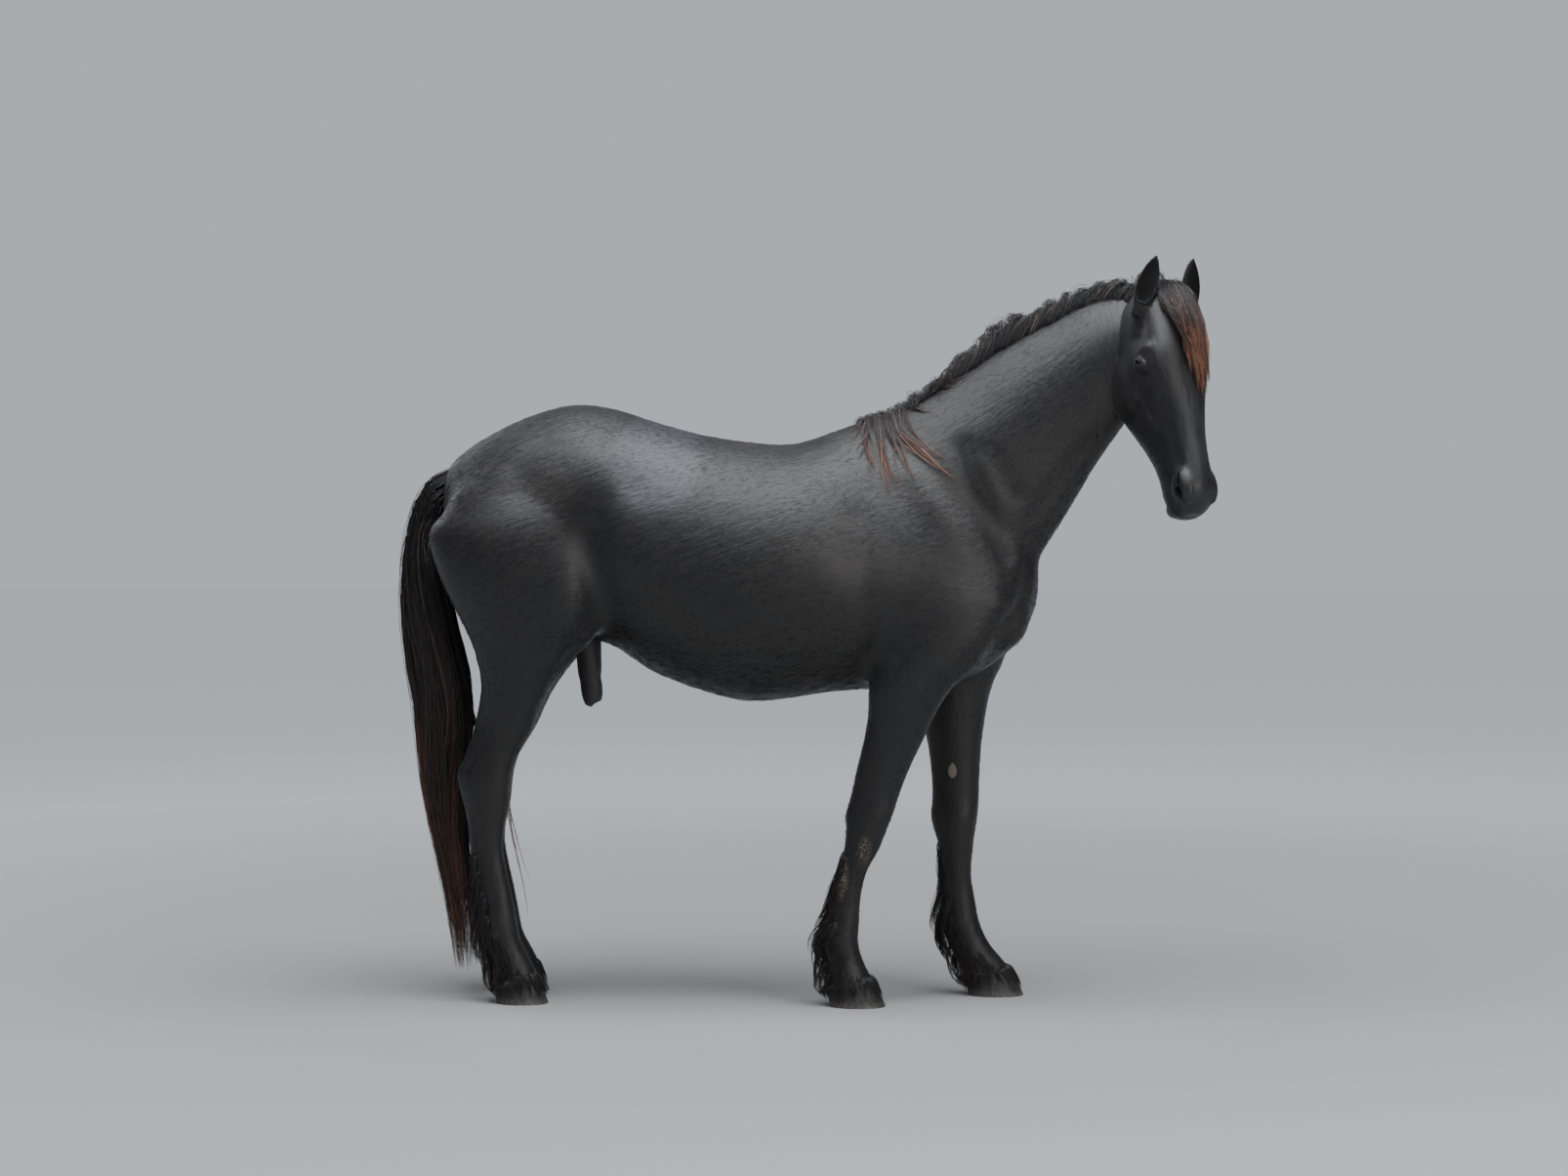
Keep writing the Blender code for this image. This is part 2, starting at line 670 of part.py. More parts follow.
def eye_ball(name, side, radius):
    shape = bmesh.new()
    bmesh.ops.create_uvsphere(shape, u_segments=14, v_segments=9, radius=radius)
    shape.transform(Matrix.Translation(eye_centre(side)) @ HEAD.to_3x3().to_4x4())
    mesh = bpy.data.meshes.new(name)
    shape.to_mesh(mesh)
    shape.free()
    return mesh


def eye(side):
    return working("eye", eye_ball("eye", side, EYE_RADIUS - GAP))


def eye_sockets(head):
    """Cuts the slit between the lids, then the hollow that holds the eye."""
    for side in (1, -1):
        slit = head_form(
            "slit",
            (EYE_DOWN + 0.001, EYE_BACK, (EYE_OUT + 0.030)),
            (EYE_SLIT_HALF, 0.0052, 0.030),
            -EYE_SLIT_TILT,
            -side,
            12,
            8,
        )
        boolean(head, slit, "DIFFERENCE")
        boolean(head, eye_ball("socket", side, EYE_RADIUS), "DIFFERENCE")
    largest_shell(head)


# Nostril cutters: down, back, left, radii and tilt as for the forms of the face.
NOSTRILS = {
    "nostril_round": ((0.594, 0.061, -0.056), (0.020, 0.012, 0.020), -10),
    "nostril_slit": ((0.562, 0.053, -0.060), (0.031, 0.0065, 0.017), 14),
}


def mouth_wedge():
    """A thin wedge between the lips, open at the front and closed at the corners of the mouth."""
    corner, front = (0.572, 0.128), (0.665, 0.098)
    rings = []
    for across in (-0.09, 0.09):
        rings.append(
            [
                on_head(corner[0], corner[1], across),
                on_head(front[0] - LIPS_APART, front[1] - LIPS_APART, across),
                on_head(front[0] + LIPS_APART, front[1] + LIPS_APART, across),
            ]
        )
    return loft("mouth", rings)


def nose_and_mouth(head):
    for name, (place, radii, tilt) in NOSTRILS.items():
        for side in (1, -1):
            boolean(head, head_form(name, place, radii, tilt, side, 12, 8), "DIFFERENCE")
    boolean(head, mouth_wedge(), "DIFFERENCE")
    largest_shell(head)


# Locks: flat tapered strands. Shares of the full width and thickness from root to tip.
LOCK_WIDTHS = (0.62, 0.95, 1.0, 0.92, 0.74, 0.46, 0.05)
LOCK_DEPTHS = (1.0, 1.0, 0.9, 0.75, 0.6, 0.45, 0.12)
SEEDS = {"tail": 12, "mane": 22, "withers": 22, "forelock": 22, "feather": 22}


def lock(name, points, width, depth, outward_from):
    """A flat lock through seven points, whose flat side faces away from a point or along a direction."""
    rings = []
    last = len(points) - 1
    for i, point in enumerate(points):
        tangent = (points[min(i + 1, last)] - points[max(i - 1, 0)]).normalized()
        facing = outward_from(point)
        facing = (facing - tangent * facing.dot(tangent)).normalized()
        across = tangent.cross(facing)
        half, thick = width * LOCK_WIDTHS[i] / 2, depth * LOCK_DEPTHS[i] / 2
        rings.append([point + across * half, point + facing * thick, point - across * half, point - facing * thick])
    return loft(name, rings)


def along(points, count=7):
    """Evenly spaced points on a smooth path through the given ones."""
    return [Vector(row) for row in through([tuple(p) for p in points], count)]


def fused(node, locks):
    """One union of the node with all its locks."""
    group = new_collection("locks")
    for i, mesh in enumerate(locks):
        group.objects.link(bpy.data.objects.new(f"lock_{i}", mesh))
    union = node.modifiers.new("locks", "BOOLEAN")
    union.operation = "UNION"
    union.operand_type = "COLLECTION"
    union.collection = group
    union.solver = "MANIFOLD"
    applied(node)
    for helper in list(group.objects):
        bpy.data.objects.remove(helper)
    bpy.data.collections.remove(group)
    return largest_shell(node)


# Mane: it stands up from the crest and falls to the left side of the neck.
MANE_LOCKS = 12
MANE_START, MANE_END = 0.385, 0.925
MANE_LENGTH = 0.25
MANE_WIDTH = 0.068
MANE_RISE = 0.058
MANE_OFF_NECK = 0.016


def crest_point(skin, x):
    """The top of the neck at x, looking down its own middle."""
    best = None
    for y in np.linspace(-0.12, 0.04, 33):
        hit = skin.ray_cast(Vector((x, y, 3)), Vector((0, 0, -1)))[0]
        if hit is not None and (best is None or hit.z > best.z):
            best = hit
    return best


def mane(skin, draw):
    made = []
    for i in range(MANE_LOCKS):
        share = i / (MANE_LOCKS - 1)
        x = MANE_START + (MANE_END - MANE_START) * share
        top = crest_point(skin, x)
        rise = MANE_RISE * (0.65 + 0.6 * math.sin(math.pi * min(1, share * 1.15 + 0.1))) * draw.uniform(0.85, 1.15)
        long = MANE_LENGTH * (0.62 + 0.42 * share) * draw.uniform(0.85, 1.15)
        drift = draw.uniform(-0.030, 0.010)
        path = [top - Vector((-0.010, -0.004, 0.030)), top + Vector((0.004, 0.010, rise * 0.8)), top + Vector((-0.004, 0.034, rise))]
        for step in (0.30, 0.55, 0.80, 1.0):
            z = top.z + rise - long * step
            place = x + drift * step
            side = skin.ray_cast(Vector((place, 1.0, z)), Vector((0, -1, 0)))[0]
            y = (side.y if side is not None else top.y) + MANE_OFF_NECK + 0.008 * draw.random()
            path.append(Vector((place, max(y, top.y + 0.045), z)))
        facing = lambda p, t=top: Vector((0, 1, 0)) * (max(p.y - t.y, 0.0) + 0.015) + Vector((-0.6, 0, 0.8)) * max(0.0, p.z - t.z + 0.03)
        made.append(lock("mane", along(path), MANE_WIDTH * draw.uniform(0.85, 1.15), 0.012, facing))
    return made


# Long thin locks at the withers that fall on the right shoulder: root x, end x, end height.
WITHER_LOCKS = ((0.235, 0.225, 1.520), (0.262, 0.318, 1.425), (0.285, 0.365, 1.470), (0.300, 0.462, 1.430))
WITHER_WIDTH = 0.020


def wither_locks(skin, draw):
    made = []
    for root, end, low in WITHER_LOCKS:
        top = crest_point(skin, root)
        path = [top - Vector((0, 0, 0.025)), top + Vector((0.002, -0.012, 0.012))]
        for step in (0.35, 0.6, 0.8, 1.0):
            x, z = root + (end - root) * step, top.z + (low - top.z) * step
            side = skin.ray_cast(Vector((x, -1.0, z)), Vector((0, 1, 0)))[0]
            path.append(Vector((x, side.y - 0.009, z)))
        facing = lambda p, t=top: Vector((0, -1, 0.6))
        made.append(lock("wither", along(path), WITHER_WIDTH * draw.uniform(0.9, 1.2), 0.006, facing))
    return made


# Forelock: roots and ends on the head (below the poll, left of the middle), lying over the forehead.
FORELOCK = (
    (-0.034, -0.056, 0.200),
    (-0.022, -0.022, 0.275),
    (-0.008, 0.010, 0.335),
    (0.006, 0.034, 0.315),
    (0.020, 0.056, 0.270),
    (0.034, 0.074, 0.215),
)
FORELOCK_WIDTH = 0.040
FORELOCK_OFF_FACE = 0.011


def forelock(skin, draw):
    made = []
    ahead = HEAD.to_3x3() @ Vector((1, 0, 0))
    for root, end, low in FORELOCK:
        path = [on_head(0.040, 0.055, root), on_head(0.004, 0.038, root)]
        for step in (0.16, 0.36, 0.58, 0.80, 1.0):
            spread = root + (end - root) * (math.sin(step * math.pi / 2) ** 0.8) + 0.012 * math.sin(step * math.pi) * math.copysign(1, end)
            spot = on_head(low * step, 0, spread)
            hit = skin.ray_cast(spot + ahead * 0.4, -ahead)[0]
            path.append(hit + ahead * (FORELOCK_OFF_FACE + 0.006 * draw.random() + 0.010 * step))
        made.append(
            lock("forelock", along(path), FORELOCK_WIDTH * draw.uniform(0.9, 1.15), 0.010, lambda p: ahead)
        )
    return made


# Tail: height, middle and half depth of the fall of hair in x, half width in y.
TAIL = (
    (1.465, -0.946, 0.030, 0.034),
    (1.420, -0.965, 0.036, 0.040),
    (1.370, -0.984, 0.042, 0.046),
    (1.270, -1.000, 0.050, 0.058),
    (1.100, -0.994, 0.066, 0.070),
    (0.940, -0.964, 0.084, 0.072),
    (0.800, -0.942, 0.084, 0.068),
    (0.620, -0.944, 0.066, 0.056),
    (0.450, -0.925, 0.056, 0.048),
    (0.300, -0.897, 0.044, 0.042),
    (0.090, -0.880, 0.034, 0.034),
)
TAIL_LOCKS = 11
TAIL_WIDTH = 0.066
TAIL_TIP = 0.070
TAIL_CLEAR = 0.020
DOCK = (
    (-0.890, 0, 1.480, 0.038),
    (-0.922, 0, 1.466, 0.035),
    (-0.950, 0, 1.432, 0.032),
    (-0.972, 0, 1.380, 0.030),
    (-0.990, 0, 1.290, 0.026),
    (-0.998, 0, 1.180, 0.022),
    (-0.994, 0, 1.040, 0.012),
)


def dock(name, grow, length):
    rows = through(DOCK, 15)[:length]
    rings = []
    for i, (x, y, z, radius) in enumerate(rows):
        tangent = Vector(rows[min(i + 1, len(rows) - 1)][:3]) - Vector(rows[max(i - 1, 0)][:3])
        tangent.normalize()
        up = tangent.cross(Vector((0, 1, 0)))
        middle = Vector((x, y, z)) - (tangent * grow if i == 0 else Vector())
        ring = []
        for k in range(12):
            t = 2 * math.pi * k / 12
            ring.append(middle + (Vector((0, math.cos(t), 0)) + up * math.sin(t)) * (radius + grow))
        rings.append(ring)
    return loft(name, rings)


def tail_spot(height, angle, reach):
    """A point of the tail's fall at a height: angle 0 is its rear, and reach 1 its surface."""
    rows = np.array(TAIL)[::-1]
    middle, deep, wide = (np.interp(height, rows[:, 0], rows[:, k]) for k in (1, 2, 3))
    return Vector((middle - deep * reach * math.cos(angle), wide * reach * math.sin(angle), height))


def clear_of(skin, point, room):
    """The point, moved out to the room given if it is nearer the skin than that or inside it."""
    hit, normal, _, distance = skin.find_nearest(point)
    if hit is None or ((point - hit).dot(normal) > 0 and distance > room):
        return point
    return hit + normal * room


def tail(skin, draw):
    node = working("tail", dock("dock", 0.0, 15))
    made = []
    for i in range(TAIL_LOCKS):
        angle = 2 * math.pi * (i * 0.382 + 0.03 * draw.uniform(-1, 1))
        angle = math.atan2(math.sin(angle), math.cos(angle) + 0.55)
        start = 1.400 - 0.25 * (i / TAIL_LOCKS) ** 0.8
        end = TAIL_TIP + (0.62 * draw.random() ** 1.6 if i % 3 else 0.08 * draw.random())
        reach = draw.uniform(0.62, 1.0)
        path = [tail_spot(start, angle, 0.05), clear_of(skin, tail_spot(start - 0.03, angle, 0.85), TAIL_CLEAR)]
        for step in (0.18, 0.38, 0.58, 0.80, 1.0):
            z = start - (start - end) * step
            spot = tail_spot(z, angle + 0.25 * math.sin(step * 3 + i), reach * (1.0 if step < 0.9 else 0.75))
            path.append(clear_of(skin, spot, TAIL_CLEAR))
        facing = lambda p: Vector((p.x - tail_spot(p.z, 0, 0).x, p.y, 0)) + Vector((-0.002, 0, 0))
        made.append(lock("tail", along(path), TAIL_WIDTH * draw.uniform(0.8, 1.2), 0.014, facing))
    return fused(node, made)


# Feathering: root height, share of the way round from the rear, length.
FEATHER_TURNS = (0.1, 0.75, -0.75, 0.0, 1.2, -1.2, -0.3)
FEATHER_LOCKS = len(FEATHER_TURNS)
FEATHER_WIDTH = 0.046
FEATHER_TOP, FEATHER_LOW = 0.285, 0.130
FEATHER_LENGTH = 0.125


def feather(skin, lower, stations, side, shift, draw):
    """Locks down the back of the cannon and the fetlock of one leg."""
    made = []
    rows = np.array(sorted(row[:3] for row in stations))
    for i in range(FEATHER_LOCKS):
        height = FEATHER_TOP + (FEATHER_LOW - FEATHER_TOP) * (i / (FEATHER_LOCKS - 1)) ** 0.8
        turn = FEATHER_TURNS[i]
        rear, front = (np.interp(height, rows[:, 0], rows[:, k]) + shift for k in (1, 2))
        middle = Vector((rear * 0.6 + front * 0.4, side * FORE_FOOT_Y, height))
        away = Vector((-math.cos(turn), math.sin(turn), 0))
        hit = skin.ray_cast(middle + away * 0.3, -away)[0]
        long = FEATHER_LENGTH * draw.uniform(0.8, 1.15)
        low = max(0.030, height - long)
        path = [hit - away * 0.014, hit + away * 0.007 + Vector((0, 0, -0.012))]
        for step in (0.35, 0.6, 0.8, 1.0):
            z = height + (low - height) * step
            spot = Vector((hit.x, hit.y, z)) + away * (0.010 + 0.018 * step)
            path.append(clear_of(skin, spot, 0.010))
        made.append(lock("feather", along(path), FEATHER_WIDTH * draw.uniform(0.85, 1.15), 0.011, lambda p, a=away: a))
    return made


SHEATH = (
    (-0.545, 0, 1.010, 0.040),
    (-0.542, 0, 0.960, 0.036),
    (-0.538, 0, 0.915, 0.034),
    (-0.534, 0, 0.870, 0.029),
    (-0.531, 0, 0.828, 0.026),
    (-0.528, 0, 0.812, 0.018),
)


def sheath(name, grow):
    rings = []
    for i, (x, y, z, radius) in enumerate(through(SHEATH, 8)):
        lift = grow if i == 0 else 0
        rings.append(
            [
                (x + (radius + grow) * math.cos(2 * math.pi * k / 12), (radius + grow) * math.sin(2 * math.pi * k / 12), z + lift)
                for k in range(12)
            ]
        )
    return loft(name, rings)


def settle(made):
    """Moves everything so that the middle of the whole object's box stands on the origin."""
    points = np.array([point.co for obj in made for point in obj.data.vertices])
    low, high = points.min(axis=0), points.max(axis=0)
    shift = Matrix.Translation((-(low[0] + high[0]) / 2, -(low[1] + high[1]) / 2, -low[2]))
    for obj in made:
        obj.data.transform(shift)


def main():
    clear_scene()
    draws = {name: random.Random(seed) for name, seed in SEEDS.items()}
    body = joined(
        "body",
        [
            torso(),
            neck(),
            leg("foreleg_right", FORELEG_BACK, -1),
            leg("foreleg_left", FORELEG_AHEAD, 1),
            leg("hindleg_right", HINDLEG, -1),
            leg("hindleg_left", HINDLEG, 1, -FARTHER_HIND_BACK),
            *muscles(),
        ],
    )
    remeshed(body, 0.008, 14)
    head = joined("head", [head_mass(), *face_forms()])
    remeshed(head, 0.004, 10)
    horse = joined("torso", [body.data, head.data, ear_solid("stub", 1, "whole"), ear_solid("stub", -1, "whole")])
    remeshed(horse, 0.005, 3)
    bpy.data.objects.remove(body)
    bpy.data.objects.remove(head)

    skin = BVHTree.FromObject(horse, bpy.context.evaluated_depsgraph_get())
    nodes = {"torso": (horse, [])}
    y_axis = Vector((0, 1, 0))

    def take(source, name, origin, normal, across, low, high, triangles_from=None):
        """Parts the box on the far side of a plane off a node. Both keep the plane for their cut faces."""
        old, planes = nodes[source]
        taken = part_off(old, name, frame_at(origin, normal, across), low, high)
        nodes[name] = (taken, [*planes, (origin, normal)])
        planes.append((origin - normal * GAP, normal))

    for word, side in (("right", -1), ("left", 1)):
        near, far = (-0.45, -0.001) if side < 0 else (0.001, 0.45)
        origin, normal = FORE_CUT
        take("torso", f"foreleg_upper_{word}", origin, normal, y_axis, (-0.55, near, 0), (0.60, far, 1.0))
        origin, normal = HIND_CUT
        take("torso", f"hindleg_upper_{word}", origin, normal, y_axis, (-0.09, near, 0), (0.6, far, 1.0))
    take("torso", "neck", *NECK_CUT, y_axis, (-1.5, -0.8, 0), (1.5, 0.8, 2.0))
    middle, normal, across = head_cut()
    take("neck", "head", middle, normal, across, (-0.40, -0.30, 0), (0.42, 0.30, 0.8))
    # The knee and hock cuts, then the hooves' tops.
    for word, side in (("right", -1), ("left", 1)):
        near, far = (-0.45, -0.001) if side < 0 else (0.001, 0.45)
        down = Vector((0, 0, -1))
        knee = Vector((0.35, 0, KNEE_CUTS[word]))
        take(f"foreleg_upper_{word}", f"foreleg_lower_{word}", knee, down, y_axis, (-0.5, near, 0), (0.5, far, 1.0))
        hock = Vector((-0.80, 0, HOCK_CUT))
        take(f"hindleg_upper_{word}", f"hindleg_lower_{word}", hock, down, y_axis, (-0.5, near, 0), (0.5, far, 1.0))
        for end, limb in (("fore", "foreleg"), ("hind", "hindleg")):
            top, up = hoof_plane(f"hoof_{end}_{word}")
            lower, planes = nodes[f"{limb}_lower_{word}"]
            spot = top + up * GAP
            boolean(lower, box_mesh("above", frame_at(spot, up, y_axis), (-1, -1, 0), (1, 1, 1)), "INTERSECT")
            planes.append((spot, up))

    for name, (obj, planes) in nodes.items():
        obj.name = name
        thinned(obj, TRIANGLES[name.split("_right")[0].split("_left")[0]], planes)
    nose_and_mouth(nodes["head"][0])
    eye_sockets(nodes["head"][0])
    boolean(nodes["torso"][0], dock("socket", GAP, 8), "DIFFERENCE")
    boolean(nodes["torso"][0], sheath("socket", GAP), "DIFFERENCE")
    nodes["tail"] = (tail(skin, draws["tail"]), [])
    nodes["sheath"] = (working("sheath", sheath("sheath", 0.0)), [])
    fused(nodes["neck"][0], mane(skin, draws["mane"]))
    fused(nodes["torso"][0], wither_locks(skin, draws["withers"]))
    fused(nodes["head"][0], forelock(skin, draws["forelock"]))
    clear_ears(nodes["head"][0])
    for limb, stations, side, shift in (
        ("foreleg_lower_right", FORELEG_BACK, -1, 0),
        ("foreleg_lower_left", FORELEG_AHEAD, 1, 0),
        ("hindleg_lower_right", HINDLEG, -1, 0),
        ("hindleg_lower_left", HINDLEG, 1, -FARTHER_HIND_BACK),
    ):
        fused(nodes[limb][0], feather(skin, nodes[limb][0], stations, side, shift, draws["feather"]))
    for name in HOOVES:
        nodes[name] = (hoof(name), [])
    nodes["ear_left"] = (ear(1), [])
    nodes["ear_right"] = (ear(-1), [])
    nodes["eye_left"] = (eye(1), [])
    nodes["eye_right"] = (eye(-1), [])
    settle([obj for obj, _ in nodes.values()])
    for name, (obj, _) in nodes.items():
        obj.name = name
        obj.data.name = name


main()
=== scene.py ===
import math
import random

import bmesh
import bpy
import numpy as np
from mathutils import Matrix, Vector
from mathutils.bvhtree import BVHTree


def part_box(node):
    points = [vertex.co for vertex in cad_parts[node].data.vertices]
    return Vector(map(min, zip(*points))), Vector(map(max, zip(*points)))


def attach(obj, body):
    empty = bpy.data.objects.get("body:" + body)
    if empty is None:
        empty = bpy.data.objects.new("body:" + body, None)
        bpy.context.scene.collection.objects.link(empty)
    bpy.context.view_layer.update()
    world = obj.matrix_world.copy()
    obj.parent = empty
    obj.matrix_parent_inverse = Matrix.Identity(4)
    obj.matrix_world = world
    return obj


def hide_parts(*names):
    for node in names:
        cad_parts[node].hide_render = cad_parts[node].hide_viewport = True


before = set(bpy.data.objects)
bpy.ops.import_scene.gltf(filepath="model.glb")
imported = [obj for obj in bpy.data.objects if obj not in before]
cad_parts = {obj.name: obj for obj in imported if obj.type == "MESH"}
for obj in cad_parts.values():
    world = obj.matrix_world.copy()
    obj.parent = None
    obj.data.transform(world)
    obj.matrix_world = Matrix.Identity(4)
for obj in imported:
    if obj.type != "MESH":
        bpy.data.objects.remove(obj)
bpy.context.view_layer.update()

# A Friesian horse at rest: one skin over the whole body, short coat, mane, forelock, tail and feathering.
# Shapes are drawn in the horse's own frame, where x = 0 lies under the middle of the back,
# and are moved to the frame of the solids at the end.

# The near fore hoof says where the horse's own frame lies: its heel and its middle are known in both.
nearHoofHeel, footFromMiddle = 0.116, 0.128
hoofLow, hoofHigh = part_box("hoof_fore_right")
shift = Vector((hoofLow[0] - nearHoofHeel, (hoofLow[1] + hoofHigh[1]) / 2 + footFromMiddle, 0))

withers, croup, back, belly = 1.60, 1.645, 1.535, 0.822
barrelHalf, hipHalf, chestHalf = 0.300, 0.262, 0.215
breastX, buttockX = 0.680, -0.968
headLength, earHalfWidth = 0.645, 0.030
ringPoints = 32


def smoothRows(stations, count):
    # rows at even steps along smooth curves through the stations
    rows = np.array(stations, float)
    steps = np.r_[0, np.cumsum(np.linalg.norm(np.diff(rows[:, :3], axis=0), axis=1))]
    slopes = np.gradient(rows, steps, axis=0)
    made = []
    for at in np.linspace(0, steps[-1], count):
        k = min(int(np.searchsorted(steps, at, side="right")) - 1, len(rows) - 2)
        span = steps[k + 1] - steps[k]
        t = (at - steps[k]) / span
        made.append(
            (2 * t**3 - 3 * t**2 + 1) * rows[k]
            + (t**3 - 2 * t**2 + t) * span * slopes[k]
            + (3 * t**2 - 2 * t**3) * rows[k + 1]
            + (t**3 - t**2) * span * slopes[k + 1]
        )
    return made


def outwardMesh(name, shape):
    # closes a bmesh shape into a mesh whose faces point outward
    if shape.calc_volume(signed=True) < 0:
        bmesh.ops.reverse_faces(shape, faces=shape.faces)
    mesh = bpy.data.meshes.new(name)
    shape.to_mesh(mesh)
    shape.free()
    return mesh


def loftMesh(name, rings):
    shape = bmesh.new()
    loops = [[shape.verts.new(p) for p in ring] for ring in rings]
    count = len(loops[0])
    for lower, upper in zip(loops, loops[1:]):
        for i in range(count):
            j = (i + 1) % count
            shape.faces.new((lower[i], lower[j], upper[j], upper[i]))
    shape.faces.new(reversed(loops[0]))
    shape.faces.new(loops[-1])
    return outwardMesh(name, shape)


def sphereMesh(name, matrix, around=32, bands=20):
    shape = bmesh.new()
    bmesh.ops.create_uvsphere(shape, u_segments=around, v_segments=bands, radius=1)
    shape.transform(matrix)
    return outwardMesh(name, shape)


def looseObject(name, mesh):
    made = bpy.data.objects.new(name, mesh)
    bpy.context.scene.collection.objects.link(made)
    return made


def applyModifiers(obj):
    graph = bpy.context.evaluated_depsgraph_get()
    graph.update()
    baked = bpy.data.meshes.new_from_object(obj.evaluated_get(graph))
    obj.modifiers.clear()
    obj.data = baked
    return obj


def joinMeshes(name, meshes):
    shape = bmesh.new()
    for mesh in meshes:
        shape.from_mesh(mesh)
    mesh = bpy.data.meshes.new(name)
    shape.to_mesh(mesh)
    shape.free()
    return looseObject(name, mesh)


def remeshObject(obj, voxel, rounds):
    remesh = obj.modifiers.new("remesh", "REMESH")
    remesh.mode = "VOXEL"
    remesh.voxel_size = voxel
    if rounds:
        smooth = obj.modifiers.new("smooth", "SMOOTH")
        smooth.factor = 0.5
        smooth.iterations = rounds
    return applyModifiers(obj)


def cutOrAdd(obj, mesh, operation):
    helper = looseObject("helper", mesh)
    step = obj.modifiers.new("step", "BOOLEAN")
    step.operation = operation
    step.solver = "MANIFOLD"
    step.object = helper
    applyModifiers(obj)
    bpy.data.objects.remove(helper)
    return obj


def bentPower(value, exponent):
    return math.copysign(abs(value) ** (2 / exponent), value)


def pointsOf(mesh):
    points = np.empty(len(mesh.vertices) * 3, np.float32)
    mesh.vertices.foreach_get("co", points)
    return points.reshape(-1, 3).astype(float)


def normalsOf(mesh):
    normals = np.empty(len(mesh.vertices) * 3, np.float32)
    mesh.vertex_normals.foreach_get("vector", normals)
    return normals.reshape(-1, 3).astype(float)


# Torso: x, top, bottom, half width, height of the widest point, roundness above and below it.
torsoRings = (
    (-0.940, 1.455, 1.270, 0.060, 1.360, 2.0, 2.0),
    (-0.905, 1.500, 1.160, 0.115, 1.330, 2.0, 2.0),
    (-0.810, 1.562, 1.080, 0.185, 1.300, 2.1, 2.0),
    (-0.680, 1.620, 1.030, 0.225, 1.300, 2.1, 2.0),
    (-0.565, croup, 1.000, 0.245, 1.330, 2.0, 2.0),
    (-0.487, 1.636, 0.980, hipHalf, 1.330, 1.9, 2.0),
    (-0.355, 1.596, 0.900, 0.270, 1.230, 1.9, 2.0),
    (-0.226, 1.561, 0.852, 0.285, 1.190, 1.9, 2.1),
    (-0.090, 1.540, belly, barrelHalf, 1.170, 1.9, 2.1),
    (0.030, back, 0.834, 0.298, 1.170, 1.9, 2.1),
    (0.129, 1.568, 0.850, 0.282, 1.170, 1.7, 2.1),
    (0.220, withers, 0.856, 0.258, 1.170, 1.5, 2.1),
    (0.320, 1.600, 0.858, 0.232, 1.160, 1.5, 2.1),
    (0.430, 1.550, 0.866, chestHalf, 1.140, 1.7, 2.1),
    (0.540, 1.440, 0.905, 0.190, 1.120, 2.0, 2.1),
    (0.620, 1.340, 0.965, 0.155, 1.110, 2.0, 2.0),
    (breastX, 1.285, 1.050, 0.095, 1.160, 2.0, 2.0),
    (0.700, 1.235, 1.105, 0.050, 1.170, 2.0, 2.0),
)

# Neck: centre x, y, z, then yaw and pitch in degrees, reach to the crest, reach to the throat, half width.
neckRings = (
    (0.300, 0.000, 1.270, 0, 22, 0.300, 0.300, 0.150),
    (0.400, 0.000, 1.345, 0, 32, 0.285, 0.330, 0.158),
    (0.500, 0.000, 1.430, -2, 38, 0.262, 0.300, 0.140),
    (0.610, -0.003, 1.535, -5, 40, 0.232, 0.262, 0.118),
    (0.720, -0.011, 1.640, -9, 38, 0.205, 0.222, 0.100),
    (0.825, -0.024, 1.728, -15, 34, 0.178, 0.190, 0.086),
    (0.915, -0.040, 1.790, -22, 28, 0.160, 0.160, 0.076),
    (0.985, -0.062, 1.830, -30, 22, 0.125, 0.130, 0.062),
)

# Legs: height, rear edge, front edge, middle from the midline, half width, how much narrower the rear is.
foreLegBack = (
    (1.120, 0.330, 0.610, 0.130, 0.085, 0.0),
    (1.020, 0.265, 0.600, 0.140, 0.085, 0.0),
    (0.930, 0.240, 0.540, 0.148, 0.078, 0.0),
    (0.870, 0.238, 0.470, 0.148, 0.072, 0.0),
    (0.790, 0.236, 0.420, 0.143, 0.064, 0.05),
    (0.734, 0.226, 0.394, 0.139, 0.058, 0.10),
    (0.646, 0.205, 0.352, 0.134, 0.049, 0.10),
    (0.566, 0.187, 0.322, 0.131, 0.046, 0.10),
    (0.525, 0.174, 0.309, 0.130, 0.048, 0.25),
    (0.478, 0.176, 0.290, 0.129, 0.047, 0.20),
    (0.428, 0.170, 0.271, 0.128, 0.041, 0.15),
    (0.375, 0.160, 0.241, 0.128, 0.034, 0.10),
    (0.295, 0.136, 0.221, 0.128, 0.032, 0.05),
    (0.226, 0.122, 0.217, 0.128, 0.036, 0.05),
    (0.170, 0.104, 0.214, 0.128, 0.042, 0.05),
    (0.125, 0.118, 0.228, 0.128, 0.038, 0.0),
    (0.085, 0.120, 0.246, 0.128, 0.046, 0.0),
    (0.060, 0.118, 0.256, 0.128, 0.050, 0.0),
    (0.030, 0.118, 0.262, 0.128, 0.052, 0.0),
)
